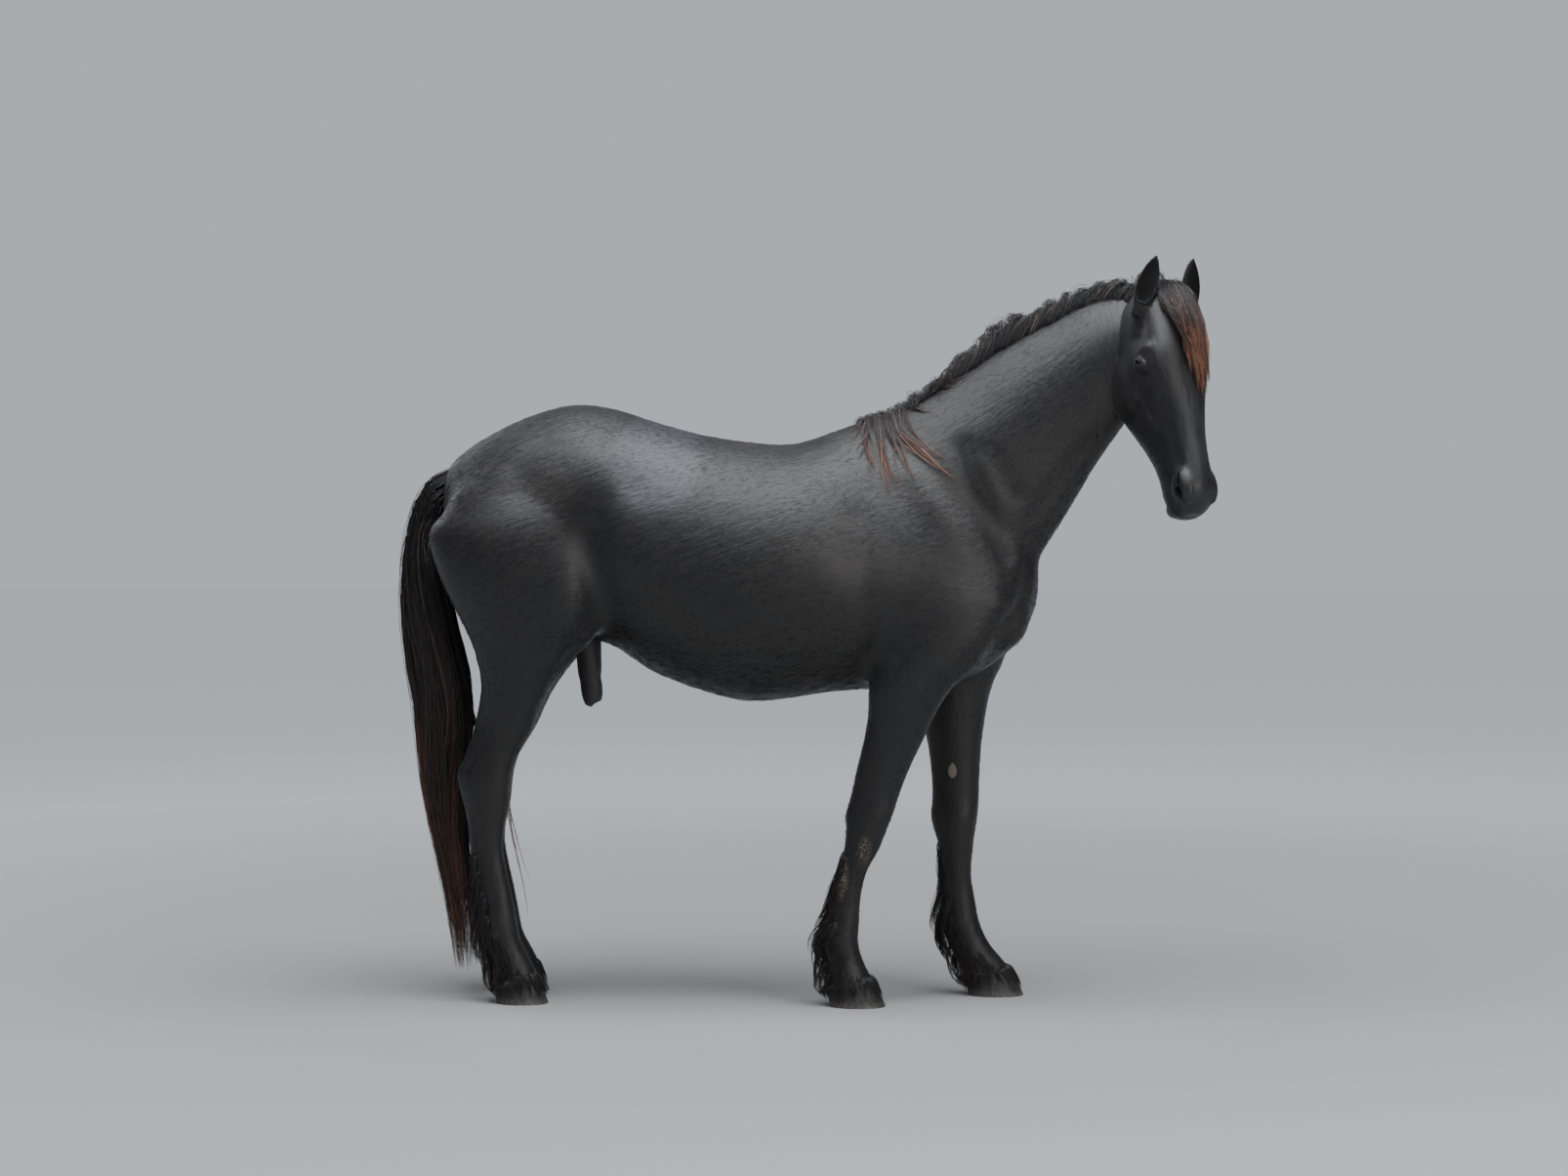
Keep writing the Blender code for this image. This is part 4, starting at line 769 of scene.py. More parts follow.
def masksOf(points, normals, uncut):
    # where each region lies, where the coat is dusty, muddy or bare, where a painted sheen lies on it and
    # where painted shade darkens its hollows and creases
    x, y, z = points.T
    local = headCoords(points)
    onHead = smoothStep(-0.04, 0.03, local[:, 0]) * (z > 1.28) * (x > 0.84)
    onNeck = smoothStep(-0.06, 0.09, (x - 0.50) * 0.8 + (z - 1.42) * 0.6)
    onLegs = smoothStep(1.04, 0.86, z) * np.maximum(smoothStep(-0.46, -0.54, x), smoothStep(0.19, 0.27, x))
    up = smoothStep(-0.1, 0.75, normals[:, 2])
    top = up * smoothStep(1.30, 1.56, z) * smoothStep(0.55, 0.38, x)
    shoulders = blob(points, 0.22, 1.49, 0.28, 0.17)
    croupSide = blob(points, -0.66, 1.50, 0.30, 0.15)
    barrelSide = 0.35 * blob(points, -0.05, 1.36, 0.40, 0.22)
    dust = np.clip(0.85 * top + 0.8 * shoulders + 0.6 * croupSide + barrelSide, 0, 1)
    dust = np.maximum(dust, 0.12 * onNeck * up * smoothStep(1.45, 1.6, z)) * (1 - onHead)
    # painted sheen: a painted highlight on the loin and, fainter, down the nose
    paintedSheen = blob(points, -0.335, 1.480, 0.118, 0.135, 2.4)
    paintedSheen = np.maximum(paintedSheen, 0.22 * onHead * blobHead(local, 0.40, 0.0, 0.17, 0.035))
    shade = blob(points, -0.500, 1.40, 0.060, 0.150)
    dust = dust * (1 - 0.8 * paintedSheen) * (1 - 0.9 * shade)
    nearFore = (y < 0) * (x > 0.05)
    mud = nearFore * (blob(points, 0.165, 0.365, 0.022, 0.065) + blob(points, 0.232, 0.425, 0.016, 0.045))
    muzzle = smoothStep(0.54, 0.60, local[:, 0] + 0.25 * (local[:, 1] - 0.09)) * onHead
    eyes = np.stack([np.array(eyePlace(side)) for side in (1, -1)])
    nearEye = np.min([np.linalg.norm(points - place, axis=1) for place in eyes], axis=0)
    lids = smoothStep(0.034, 0.025, nearEye)
    deep = np.zeros(len(points))
    # painted shade: the deeper a point lies below the uncarved skin, in the nostrils, mouth and eye slits,
    # the darker it is painted
    for i in np.nonzero(onHead + (local[:, 0] > -0.17) * (x > 0.9) * (z > 1.8) > 0.1)[0]:
        hit, normal, _, _ = uncut.find_nearest(Vector(points[i]))
        deep[i] = -(Vector(points[i]) - hit).dot(normal)
    deep = smoothStep(0.0005, 0.0030, deep)
    for side in (1, -1):
        # the inside of an ear is whatever faces its opening, and it gets painted shade
        away = earFrame(side).inverted()
        turn = np.array(away.to_3x3())
        within = points @ turn.T + np.array(away.translation)
        facing = (normals @ turn.T)[:, 0]
        long = (within[:, 2] > 0.004) & (within[:, 2] < 0.15)
        wide = (np.abs(within[:, 1]) < 0.031) & (np.abs(within[:, 0]) < 0.04)
        deep = np.maximum(deep, smoothStep(0.0, 0.3, facing) * (long & wide))
    # painted shade along the creases
    folded = np.stack([x, np.abs(y), z], axis=1)
    for crease, dark in creaseShade.items():
        line, width, _ = skinGrooves[crease]
        deep = np.maximum(deep, dark * np.exp(-nearPolyline(folded, smoothLine(line)) / (0.8 * width) ** 2))
    return {
        "onNeck": onNeck * (1 - onHead), "onLegs": onLegs, "onHead": onHead, "dust": dust, "paintedSheen": paintedSheen,
        "mud": np.clip(mud, 0, 1), "bare": np.clip(0.75 * muzzle + lids, 0, 1), "deep": deep,
    }


def blobHead(local, down, left, long, wide):
    far = ((local[:, 0] - down) / long) ** 2 + ((local[:, 2] - left) / wide) ** 2
    return smoothStep(1.3, 0.2, far) * smoothStep(0.12, 0.03, local[:, 1])


def treeOf(obj):
    return BVHTree.FromObject(obj, bpy.context.evaluated_depsgraph_get())


def bodyMass():
    trunk = [
        loftMesh("torso", [uprightRing(*row) for row in smoothRows(torsoRings, 60)]),
        loftMesh("neck", [neckRing(*row) for row in smoothRows(neckRings, 34)]),
    ]
    kinds = (
        (foreLegBack, -1, 0.0),
        (foreLegAhead, 1, 0.0),
        (hindLeg, -1, 0.0),
        (hindLeg, 1, fartherHindBack),
    )
    trunk += [legMesh(*kind, lowest=skin["legsBlendTo"]) for kind in kinds]
    legs = [legMesh(*kind, highest=skin["legsBlendFrom"]) for kind in kinds]
    plain = remeshObject(joinMeshes("plain", trunk), 0.012, 2)
    muscles = muscleMeshes(treeOf(plain))
    bpy.data.objects.remove(plain)
    whole = remeshObject(joinMeshes("trunk", trunk + muscles), skin["trunkVoxel"], skin["trunkRounds"])
    body = joinMeshes("bodyMass", [whole.data, *legs])
    bpy.data.objects.remove(whole)
    return remeshObject(body, skin["bodyVoxel"], skin["bodyRounds"])


def makeSkin():
    body = bodyMass()
    head = joinMeshes(
        "headMass", [headMesh(), *[headForm(*form, side) for form in faceForms.values() for side in (1, -1)]]
    )
    remeshObject(head, skin["headVoxel"], skin["headRounds"])
    napeTurn = Matrix.Rotation(math.radians(-38), 4, "Z")
    napeSize = Matrix.Diagonal((0.075, 0.050, 0.052, 1))
    nape = sphereMesh("nape", Matrix.Translation((1.022, -0.118, 1.925)) @ napeTurn @ napeSize)
    made = joinMeshes("skin", [body.data, head.data, nape, earMesh(1), earMesh(-1)])
    bpy.data.objects.remove(body)
    bpy.data.objects.remove(head)
    remeshObject(made, skin["voxel"], 6)
    print("skin remeshed:", len(made.data.polygons), "faces")
    sculptSkin(made.data)
    uncut = treeOf(made)
    carveHead(made)
    print("head carved:", len(made.data.polygons), "faces")
    # the head keeps more of its faces than the body
    points = pointsOf(made.data)
    local = headCoords(points)
    onFace = (local[:, 0] > -0.16) & (points[:, 0] > 0.90) & (points[:, 2] > 1.30)
    group = made.vertex_groups.new(name="keep")
    group.add(np.nonzero(onFace)[0].tolist(), 1.0, "REPLACE")
    made.data.calc_loop_triangles()
    thin = made.modifiers.new("thin", "DECIMATE")
    thin.ratio = min(1.0, skin["faces"] / len(made.data.loop_triangles))
    thin.vertex_group = "keep"
    thin.invert_vertex_group = True
    thin.vertex_group_factor = 0.6
    thin.use_collapse_triangulate = True
    applyModifiers(made)
    print("skin:", len(made.data.polygons), "triangles")
    made.vertex_groups.clear()
    made.data.shade_smooth()
    made.data.set_sharp_from_angle(angle=math.radians(60))
    masks = masksOf(pointsOf(made.data), normalsOf(made.data), uncut)
    for name, values in masks.items():
        made.data.attributes.new(name, "FLOAT", "POINT").data.foreach_set("value", values.astype(np.float32))
    return made, masks


def flatMaterial(name, colour, roughness):
    made = bpy.data.materials.new(name)
    made.use_nodes = True
    shader = made.node_tree.nodes["Principled BSDF"]
    shader.inputs["Base Color"].default_value = (*colour, 1)
    shader.inputs["Roughness"].default_value = roughness
    return made


def addNode(tree, kind, **settings):
    made = tree.nodes.new(kind)
    for key, value in settings.items():
        setattr(made, key, value)
    return made


def feed(tree, socket, value):
    # a socket takes a number, a colour or the output of another node
    if isinstance(value, (int, float)):
        socket.default_value = value
    elif isinstance(value, tuple):
        socket.default_value = (*value, 1)[: len(socket.default_value)]
    elif value is not None:
        tree.links.new(value, socket)


def attributeValue(tree, name):
    return addNode(tree, "ShaderNodeAttribute", attribute_name=name).outputs["Fac"]


def mathNode(tree, operation, *values, clamp=False):
    made = addNode(tree, "ShaderNodeMath", operation=operation, use_clamp=clamp)
    for socket, value in zip(made.inputs, values):
        feed(tree, socket, value)
    return made.outputs[0]


def mixColour(tree, share, first, second):
    made = addNode(tree, "ShaderNodeMix", data_type="RGBA")
    for index, value in ((0, share), (6, first), (7, second)):
        feed(tree, made.inputs[index], value)
    return made.outputs[2]


def mixValue(tree, share, first, second):
    made = addNode(tree, "ShaderNodeMix", data_type="FLOAT")
    for index, value in ((0, share), (2, first), (3, second)):
        feed(tree, made.inputs[index], value)
    return made.outputs[0]


def rangeNode(tree, value, low, high, toLow=0.0, toHigh=1.0):
    made = addNode(tree, "ShaderNodeMapRange")
    for index, given in enumerate((value, low, high, toLow, toHigh)):
        feed(tree, made.inputs[index], given)
    return made.outputs[0]


def noiseNode(tree, vector, scale, detail=3.0, rough=0.55):
    made = addNode(tree, "ShaderNodeTexNoise")
    if vector is not None:
        tree.links.new(vector, made.inputs["Vector"])
    made.inputs["Scale"].default_value = scale
    made.inputs["Detail"].default_value = detail
    made.inputs["Roughness"].default_value = rough
    return made.outputs["Fac"]


def grainGroup():
    # noise drawn out along one direction, as the hairs of a coat lie
    group = bpy.data.node_groups.new("hairGrain", "ShaderNodeTree")
    for name, kind in (
        ("Along", "NodeSocketVector"),
        ("Aside", "NodeSocketVector"),
        ("Length", "NodeSocketFloat"),
        ("Width", "NodeSocketFloat"),
    ):
        group.interface.new_socket(name, in_out="INPUT", socket_type=kind)
    group.interface.new_socket("Grain", in_out="OUTPUT", socket_type="NodeSocketFloat")
    given = addNode(group, "NodeGroupInput")
    taken = addNode(group, "NodeGroupOutput")
    place = addNode(group, "ShaderNodeNewGeometry").outputs["Position"]
    third = addNode(group, "ShaderNodeVectorMath", operation="CROSS_PRODUCT")
    feed(group, third.inputs[0], given.outputs["Along"])
    feed(group, third.inputs[1], given.outputs["Aside"])
    joined = addNode(group, "ShaderNodeCombineXYZ")
    for index, (axis, size) in enumerate(
        ((given.outputs["Along"], "Length"), (given.outputs["Aside"], "Width"), (third.outputs[0], "Width"))
    ):
        part = addNode(group, "ShaderNodeVectorMath", operation="DOT_PRODUCT")
        feed(group, part.inputs[0], place)
        feed(group, part.inputs[1], axis)
        feed(
            group, joined.inputs[index], mathNode(group, "DIVIDE", part.outputs["Value"], given.outputs[size])
        )
    feed(group, taken.inputs["Grain"], noiseNode(group, joined.outputs[0], 1.0, 2.0))
    return group


# The lie of the hair by region: its direction and one across it.
lieWays = {
    "trunk": ((-0.933, 0.0, -0.360), (0.360, 0.0, -0.933)),
    "onNeck": ((-0.780, 0.060, -0.623), (0.623, 0.0, -0.780)),
    "onLegs": ((0.050, 0.0, -0.998), (0.998, 0.0, 0.050)),
    "onHead": (tuple(-headAxes[:, 2]), tuple(headAxes[:, 1])),
}


def grainOf(tree, group, length, width):
    # the grain of all regions, cross-faded by the weights that the skin carries
    made = None
    for region, (along, aside) in lieWays.items():
        grain = addNode(tree, "ShaderNodeGroup", node_tree=group)
        grain.inputs["Along"].default_value = along
        grain.inputs["Aside"].default_value = aside
        grain.inputs["Length"].default_value = length
        grain.inputs["Width"].default_value = width
        if made is None:
            made = grain.outputs["Grain"]
        else:
            made = mixValue(tree, attributeValue(tree, region), made, grain.outputs["Grain"])
    return made


# colours of the coat, among them the painted sheen of the loin and nose and the painted shade of its hollows,
# ear cups and creases
coatLook = {
    "black": (0.0058, 0.0056, 0.0068),
    "brown": (0.0190, 0.0138, 0.0120),
    "dust": (0.1250, 0.1110, 0.1000),
    "paintedSheen": (0.0660, 0.0700, 0.0800),
    "mud": (0.3000, 0.2400, 0.1700),
    "deep": (0.0040, 0.0030, 0.0030),
    "bare": (0.0200, 0.0190, 0.0230),
}


def coatColour(tree, fine, broad):
    # black, a little brown in patches, dust on the back, a painted sheen at the loin and down the nose, mud
    # on a leg, painted shade in the hollows and creases
    patches = noiseNode(tree, None, 7.0, 3.0)
    base = mixColour(
        tree, rangeNode(tree, patches, 0.42, 0.72, 0, 0.55), coatLook["black"], coatLook["brown"]
    )
    base = mixColour(tree, rangeNode(tree, broad, 0.35, 0.75, 0, 0.35), base, coatLook["brown"])
    dust = mathNode(
        tree, "MULTIPLY", attributeValue(tree, "dust"), rangeNode(tree, broad, 0.40, 0.66, 0.18, 1.0)
    )
    flecks = mathNode(tree, "MULTIPLY", attributeValue(tree, "dust"), rangeNode(tree, fine, 0.60, 0.70))
    base = mixColour(tree, mathNode(tree, "MULTIPLY", dust, 0.14), base, coatLook["dust"])
    base = mixColour(tree, mathNode(tree, "MULTIPLY", flecks, 0.60), base, coatLook["dust"])
    # painted sheen: a bluish painted highlight over the loin and the nose
    paintedSheen = mathNode(
        tree, "MULTIPLY", attributeValue(tree, "paintedSheen"), rangeNode(tree, broad, 0.30, 0.60, 0.45, 1.0)
    )
    base = mixColour(tree, mathNode(tree, "MULTIPLY", paintedSheen, 0.60), base, coatLook["paintedSheen"])
    mud = mathNode(tree, "MULTIPLY", attributeValue(tree, "mud"), rangeNode(tree, fine, 0.52, 0.60))
    base = mixColour(tree, mud, base, coatLook["mud"])
    base = mixColour(tree, attributeValue(tree, "bare"), base, coatLook["bare"])
    # painted shade in the hollows, ear cups and creases
    return mixColour(tree, attributeValue(tree, "deep"), base, coatLook["deep"])


def coatMaterial(name="coatLook", onTufts=False):
    made = bpy.data.materials.new(name)
    made.use_nodes = True
    tree = made.node_tree
    shader = tree.nodes["Principled BSDF"]
    group = bpy.data.node_groups.get("hairGrain") or grainGroup()
    fine = grainOf(tree, group, 0.0120, 0.0016)
    broad = grainOf(tree, group, 0.0600, 0.0110)
    feed(tree, shader.inputs["Base Color"], coatColour(tree, fine, broad))
    rough = mathNode(tree, "MULTIPLY_ADD", broad, 0.18, 0.36)
    rough = mixValue(tree, attributeValue(tree, "dust"), rough, 0.52)
    rough = mixValue(tree, attributeValue(tree, "bare"), rough, 0.42)
    feed(tree, shader.inputs["Roughness"], mixValue(tree, attributeValue(tree, "deep"), rough, 0.95))
    if not onTufts:
        bumps = addNode(tree, "ShaderNodeBump")
        bumps.inputs["Strength"].default_value = 0.55
        bumps.inputs["Distance"].default_value = 0.0022
        heights = mathNode(tree, "MULTIPLY_ADD", fine, 0.35, broad)
        smooth = mathNode(
            tree, "SUBTRACT", 1.0, mathNode(tree, "MULTIPLY", attributeValue(tree, "bare"), 0.85)
        )
        feed(tree, bumps.inputs["Height"], mathNode(tree, "MULTIPLY", heights, smooth))
        feed(tree, shader.inputs["Normal"], bumps.outputs["Normal"])
    shader.inputs["Specular IOR Level"].default_value = 0.50
    shader.inputs["Sheen Weight"].default_value = 0.07
    shader.inputs["Sheen Roughness"].default_value = 0.40
    shader.inputs["Sheen Tint"].default_value = (0.80, 0.84, 1.0, 1)
    return made


def hairMaterial():
    made = bpy.data.materials.new("longHairLook")
    made.use_nodes = True
    tree = made.node_tree
    shader = tree.nodes["Principled BSDF"]
    along, red, tone = (attributeValue(tree, key) for key in ("along", "red", "tone"))
    faded = mathNode(tree, "MULTIPLY", mathNode(tree, "POWER", along, 1.25), red, clamp=True)
    faded = mathNode(tree, "MULTIPLY", faded, rangeNode(tree, tone, 0, 1, 0.60, 1.35), clamp=True)
    brown = mixColour(
        tree, rangeNode(tree, faded, 0.04, 0.40), (0.0090, 0.0075, 0.0085), (0.0480, 0.0220, 0.0190)
    )
    copper = mixColour(tree, rangeNode(tree, faded, 0.32, 0.85), brown, (0.4200, 0.1700, 0.0920))
    glint = mathNode(
        tree, "MULTIPLY", mathNode(tree, "GREATER_THAN", tone, 0.93), mathNode(tree, "MULTIPLY", red, 0.50)
    )
    feed(tree, shader.inputs["Base Color"], mixColour(tree, glint, copper, (0.4000, 0.2700, 0.2100)))
    shader.inputs["Roughness"].default_value = 0.40
    shader.inputs["Specular IOR Level"].default_value = 0.5
    shader.inputs["Sheen Weight"].default_value = 0.1
    return made


def unwrapOf(obj):
    # a coarse copy of the skin with one flat map, on which every tuft of the coat has its place
    coarse = looseObject("unwrap", obj.data.copy())
    thin = coarse.modifiers.new("thin", "DECIMATE")
    thin.ratio = 5000 / len(obj.data.polygons)
    applyModifiers(coarse)
    bpy.context.view_layer.objects.active = coarse
    coarse.select_set(True)
    bpy.ops.object.mode_set(mode="EDIT")
    bpy.ops.mesh.select_all(action="SELECT")
    bpy.ops.uv.smart_project(angle_limit=math.radians(60), island_margin=0.004)
    bpy.ops.object.mode_set(mode="OBJECT")
    mesh = coarse.data
    flat = np.empty(len(mesh.loops) * 2, np.float32)
    mesh.uv_layers.active.data.foreach_get("uv", flat)
    flat = flat.reshape(-1, 2)
    points = [v.co.copy() for v in mesh.vertices]
    faces = [tuple(p.vertices) for p in mesh.polygons]
    corners = [tuple(p.loop_indices) for p in mesh.polygons]
    bpy.data.objects.remove(coarse)
    return {
        "tree": BVHTree.FromPolygons(points, faces),
        "points": points,
        "faces": faces,
        "corners": corners,
        "flat": flat,
    }


def flatPlaces(unwrap, spots):
    made = np.zeros((len(spots), 2))
    for i, spot in enumerate(spots):
        hit, _, face, _ = unwrap["tree"].find_nearest(Vector(spot))
        a, b, c = (unwrap["points"][k] for k in unwrap["faces"][face][:3])
        ab, ac, ap = b - a, c - a, hit - a
        d00, d01, d11, d20, d21 = ab.dot(ab), ab.dot(ac), ac.dot(ac), ap.dot(ab), ap.dot(ac)
        under = max(d00 * d11 - d01 * d01, 1e-12)
        v, w = (d11 * d20 - d01 * d21) / under, (d00 * d21 - d01 * d20) / under
        places = [unwrap["flat"][k] for k in unwrap["corners"][face][:3]]
        made[i] = places[0] * (1 - v - w) + places[1] * v + places[2] * w
    return np.clip(made, 0.0, 0.997)


patch, mostTriangles = 0.003, 185_000


def tubesObject(name, paths, radii, values, unwrap):
    # thin three-sided tubes, closed at both ends; values holds one number per point and attribute
    count, steps = paths.shape[:2]
    tangents = np.gradient(paths, axis=1)
    tangents /= np.maximum(np.linalg.norm(tangents, axis=2, keepdims=True), 1e-9)
    helper = np.cross(tangents, np.array([0.31, 0.87, 0.38]))
    helper /= np.maximum(np.linalg.norm(helper, axis=2, keepdims=True), 1e-9)
    other = np.cross(tangents, helper)
    turns = np.array([0, 2, 4]) * math.pi / 3
    ring = helper[:, :, None] * np.cos(turns)[:, None] + other[:, :, None] * np.sin(turns)[:, None]
    points = paths[:, :, None] + ring * radii[:, :, None, None]
    base = (np.arange(count)[:, None, None] * steps + np.arange(steps - 1)[None, :, None]) * 3
    side = np.arange(3)[None, None, :]
    ahead = (side + 1) % 3
    quads = np.stack([base + side, base + ahead, base + ahead + 3, base + side + 3], axis=-1).reshape(-1, 4)
    first = np.arange(count)[:, None] * steps * 3 + np.array([2, 1, 0])
    last = np.arange(count)[:, None] * steps * 3 + (steps - 1) * 3 + np.array([0, 1, 2])
    ends = np.concatenate([first, last])
    corners = np.concatenate([quads.ravel(), ends.ravel()]).astype(np.int32)
    starts = np.concatenate(
        [np.arange(len(quads)) * 4, len(quads) * 4 + np.arange(len(ends)) * 3]
    ).astype(np.int32)
    mesh = bpy.data.meshes.new(name)
    mesh.vertices.add(count * steps * 3)
    mesh.vertices.foreach_set("co", points.astype(np.float32).ravel())
    mesh.loops.add(len(corners))
    mesh.loops.foreach_set("vertex_index", corners)
    mesh.polygons.add(len(starts))
    mesh.polygons.foreach_set("loop_start", starts)
    mesh.update(calc_edges=True)
    for key, value in values.items():
        layer = mesh.attributes.new(key, "FLOAT", "POINT")
        layer.data.foreach_set("value", np.repeat(value[:, :, None], 3, axis=2).astype(np.float32).ravel())
    place = flatPlaces(unwrap, paths[:, 0])
    strand, rest = corners // (steps * 3), corners % (steps * 3)
    uv = place[strand] + patch * np.stack([(rest % 3) / 2, (rest // 3) / (steps - 1)], axis=1)
    mesh.uv_layers.new(name="OFBake").data.foreach_set("uv", uv.astype(np.float32).ravel())
    mesh.shade_smooth()
    return looseObject(name, mesh)


def keepOff(tree, paths, room):
    # moves every point out of the skin to the distance given for it
    flat, rooms = paths.reshape(-1, 3), room.ravel()
    for i in range(len(flat)):
        if rooms[i] <= 0:
            continue
        hit, normal, _, far = tree.find_nearest(Vector(flat[i]), 0.12)
        if hit is None:
            continue
        above = (Vector(flat[i]) - hit).dot(normal)
        if above < rooms[i]:
            flat[i] = hit + normal * rooms[i]
    return flat.reshape(paths.shape)


def smoothPath(points, steps):
    rows = smoothRows([tuple(p) for p in points], steps)
    return np.array([row[:3] for row in rows])


def strandsOf(locks, steps, draws, form):
    # every lock is a bundle of strands round one path: spread at the root, drawn together towards the tip
    paths, reds, lengths = [], [], []
    t = np.interp(np.linspace(0, 1, steps), *zip(*form.get("sampling", ((0, 0), (1, 1)))))
    for lock in locks:
        path = smoothPath(lock["path"], 48)
        tangent = np.gradient(path, axis=0)
        tangent /= np.maximum(np.linalg.norm(tangent, axis=1, keepdims=True), 1e-9)
        facing = np.array(lock["facing"], float)
        if facing.ndim == 1:
            facing = np.repeat(facing[None], len(path), axis=0)
        across = np.cross(tangent, facing)
        across /= np.maximum(np.linalg.norm(across, axis=1, keepdims=True), 1e-9)
        facing = np.cross(across, tangent)
        at = np.linspace(0, 1, len(path))
        wave, turnShare = form["wave"] * draws.uniform(0.5, 1.3), draws.uniform(0, 2 * math.pi)
        for _ in range(lock["count"]):
            long = 1 - form["shorter"] * draws.random() ** 2
            own = t * long
            angle, reach = draws.uniform(0, 2 * math.pi), math.sqrt(draws.random())
            stray = 1 + (form["stray"] * draws.random() if draws.random() < 0.12 else 0)
            a, b = math.cos(angle) * reach * stray, math.sin(angle) * reach * stray
            wide = np.interp(own, (0, 0.18, 0.6, 1), lock["width"]) * a / 2
            deep = np.interp(own, (0, 0.18, 0.6, 1), lock["depth"]) * b / 2
            phase = turnShare + draws.uniform(-0.5, 0.5)
            sway = wave * own * np.sin(form["turns"] * 2 * math.pi * own + phase)
            lift = wave * 0.6 * own * np.cos(form["turns"] * 2 * math.pi * own * 1.1 + phase)
            here = [
                np.stack([np.interp(own, at, values[:, k]) for k in range(3)], axis=1)
                for values in (path, across, facing)
            ]
            paths.append(here[0] + here[1] * (wide + sway)[:, None] + here[2] * (deep + lift)[:, None])
            reds.append(np.clip(lock["red"] + draws.gauss(0, form["redSpread"]), 0, 1))
            lengths.append(own)
    return np.array(paths), np.array(reds), np.array(lengths)


def hairPiece(name, locks, steps, form, solidTree, unwrap, seed):
    # the strands of all locks, in as many objects as keep each one small
    draws = random.Random(seed)
    paths, reds, along = strandsOf(locks, steps, draws, form)
    share = np.linspace(0, 1, steps)[None]
    room = np.where(share < 0.02, 0, form["room"] * np.minimum(1, share * 5)) * np.ones((len(paths), 1))
    paths = keepOff(solidTree, paths, room)
    thick = np.array([draws.uniform(0.7, 1.3) for _ in paths])[:, None]
    radii = form["radius"] * (1 - 0.88 * share**2.2) * thick
    values = {
        "red": reds[:, None] * np.ones((1, steps)),
        "along": along,
        "tone": np.array([draws.random() for _ in paths])[:, None] * np.ones((1, steps)),
    }
    triangles = len(paths) * ((steps - 1) * 6 + 2)
    parts = np.array_split(np.arange(len(paths)), math.ceil(triangles / mostTriangles))
    made = []
    for i, part in enumerate(parts):
        label = name if len(parts) == 1 else f"{name}{i + 1}"
        made.append(
            tubesObject(label, paths[part], radii[part], {key: v[part] for key, v in values.items()}, unwrap)
        )
    print(f"{name}: {len(paths)} strands, {triangles} triangles in {len(parts)} pieces")
    return made


def crestPoint(tree, x):
    # the top of the neck at x, looking down its own middle
    best = None
    for y in np.linspace(-0.13, 0.05, 37):
        hit = tree.ray_cast(Vector((x, y, 3)), Vector((0, 0, -1)))[0]
        if hit is not None and (best is None or hit.z > best.z):
            best = hit
    return best


mane = {"locks": 84, "strands": 40, "steps": 17, "start": 0.225, "end": 0.985, "seed": 3}
maneForm = {
    "sampling": ((0, 0), (0.62, 0.46), (1, 1)),
    "wave": 0.0035,
    "turns": 1.1,
    "shorter": 0.60,
    "stray": 0.9,
    "redSpread": 0.18,
    "room": 0.004,
    "radius": 0.00062,
}
# how far the mane stands over the crest, by place along it
maneRise = (
    (0.225, 0.012),
    (0.36, 0.022),
    (0.46, 0.060),
    (0.55, 0.088),
    (0.66, 0.066),
    (0.80, 0.052),
    (0.90, 0.040),
    (0.985, 0.030),
)


def maneLocks(tree):
    draws = random.Random(mane["seed"])
    locks = []
    spots, heights = zip(*maneRise)
    for i in range(mane["locks"]):
        share = (i + draws.uniform(-0.4, 0.4)) / (mane["locks"] - 1)
        x = mane["start"] + (mane["end"] - mane["start"]) * min(max(share, 0), 1)
        top = crestPoint(tree, x) + Vector((0, draws.uniform(-0.010, 0.012), 0))
        rise = float(np.interp(x, spots, heights)) * draws.uniform(0.7, 1.15)
        long = (0.15 + 0.15 * min(1, share * 1.5)) * draws.uniform(0.75, 1.2)
        lean = draws.uniform(0.010, 0.040) * (1 if share > 0.2 else -0.2)
        drift = draws.uniform(-0.06, 0.015)
        path = [
            top - Vector((0.008, 0, 0.012)),
            top + Vector((lean * 0.4, 0.004, rise * 0.55)),
            top + Vector((lean * 0.9, 0.022, rise)),
            top + Vector((lean, 0.052, rise * 0.72)),
        ]
        for step in (0.35, 0.6, 0.8, 1.0):
            z = top.z + rise * 0.6 - long * step
            place = x + lean + drift * step
            side = tree.ray_cast(Vector((place, 1.0, z)), Vector((0, -1, 0)))[0]
            y = (side.y if side is not None else top.y) + draws.uniform(0.010, 0.028)
            path.append(Vector((place, max(y, top.y + 0.050), z)))
        locks.append(
            {
                "path": path,
                "facing": (0.0, 0.75, 0.66),
                "width": (0.030, 0.036, 0.026, 0.006),
                "depth": (0.020, 0.022, 0.016, 0.004),
                "count": mane["strands"],
                "red": draws.uniform(0.45, 0.95) if share > 0.25 else draws.uniform(0.25, 0.60),
            }
        )
    return locks


forelock = {"locks": 32, "strands": 40, "steps": 12, "seed": 5}
forelockForm = {
    "wave": 0.004,
    "turns": 1.0,
    "shorter": 0.5,
    "stray": 1.2,
    "redSpread": 0.15,
    "room": 0.004,
    "radius": 0.00062,
}


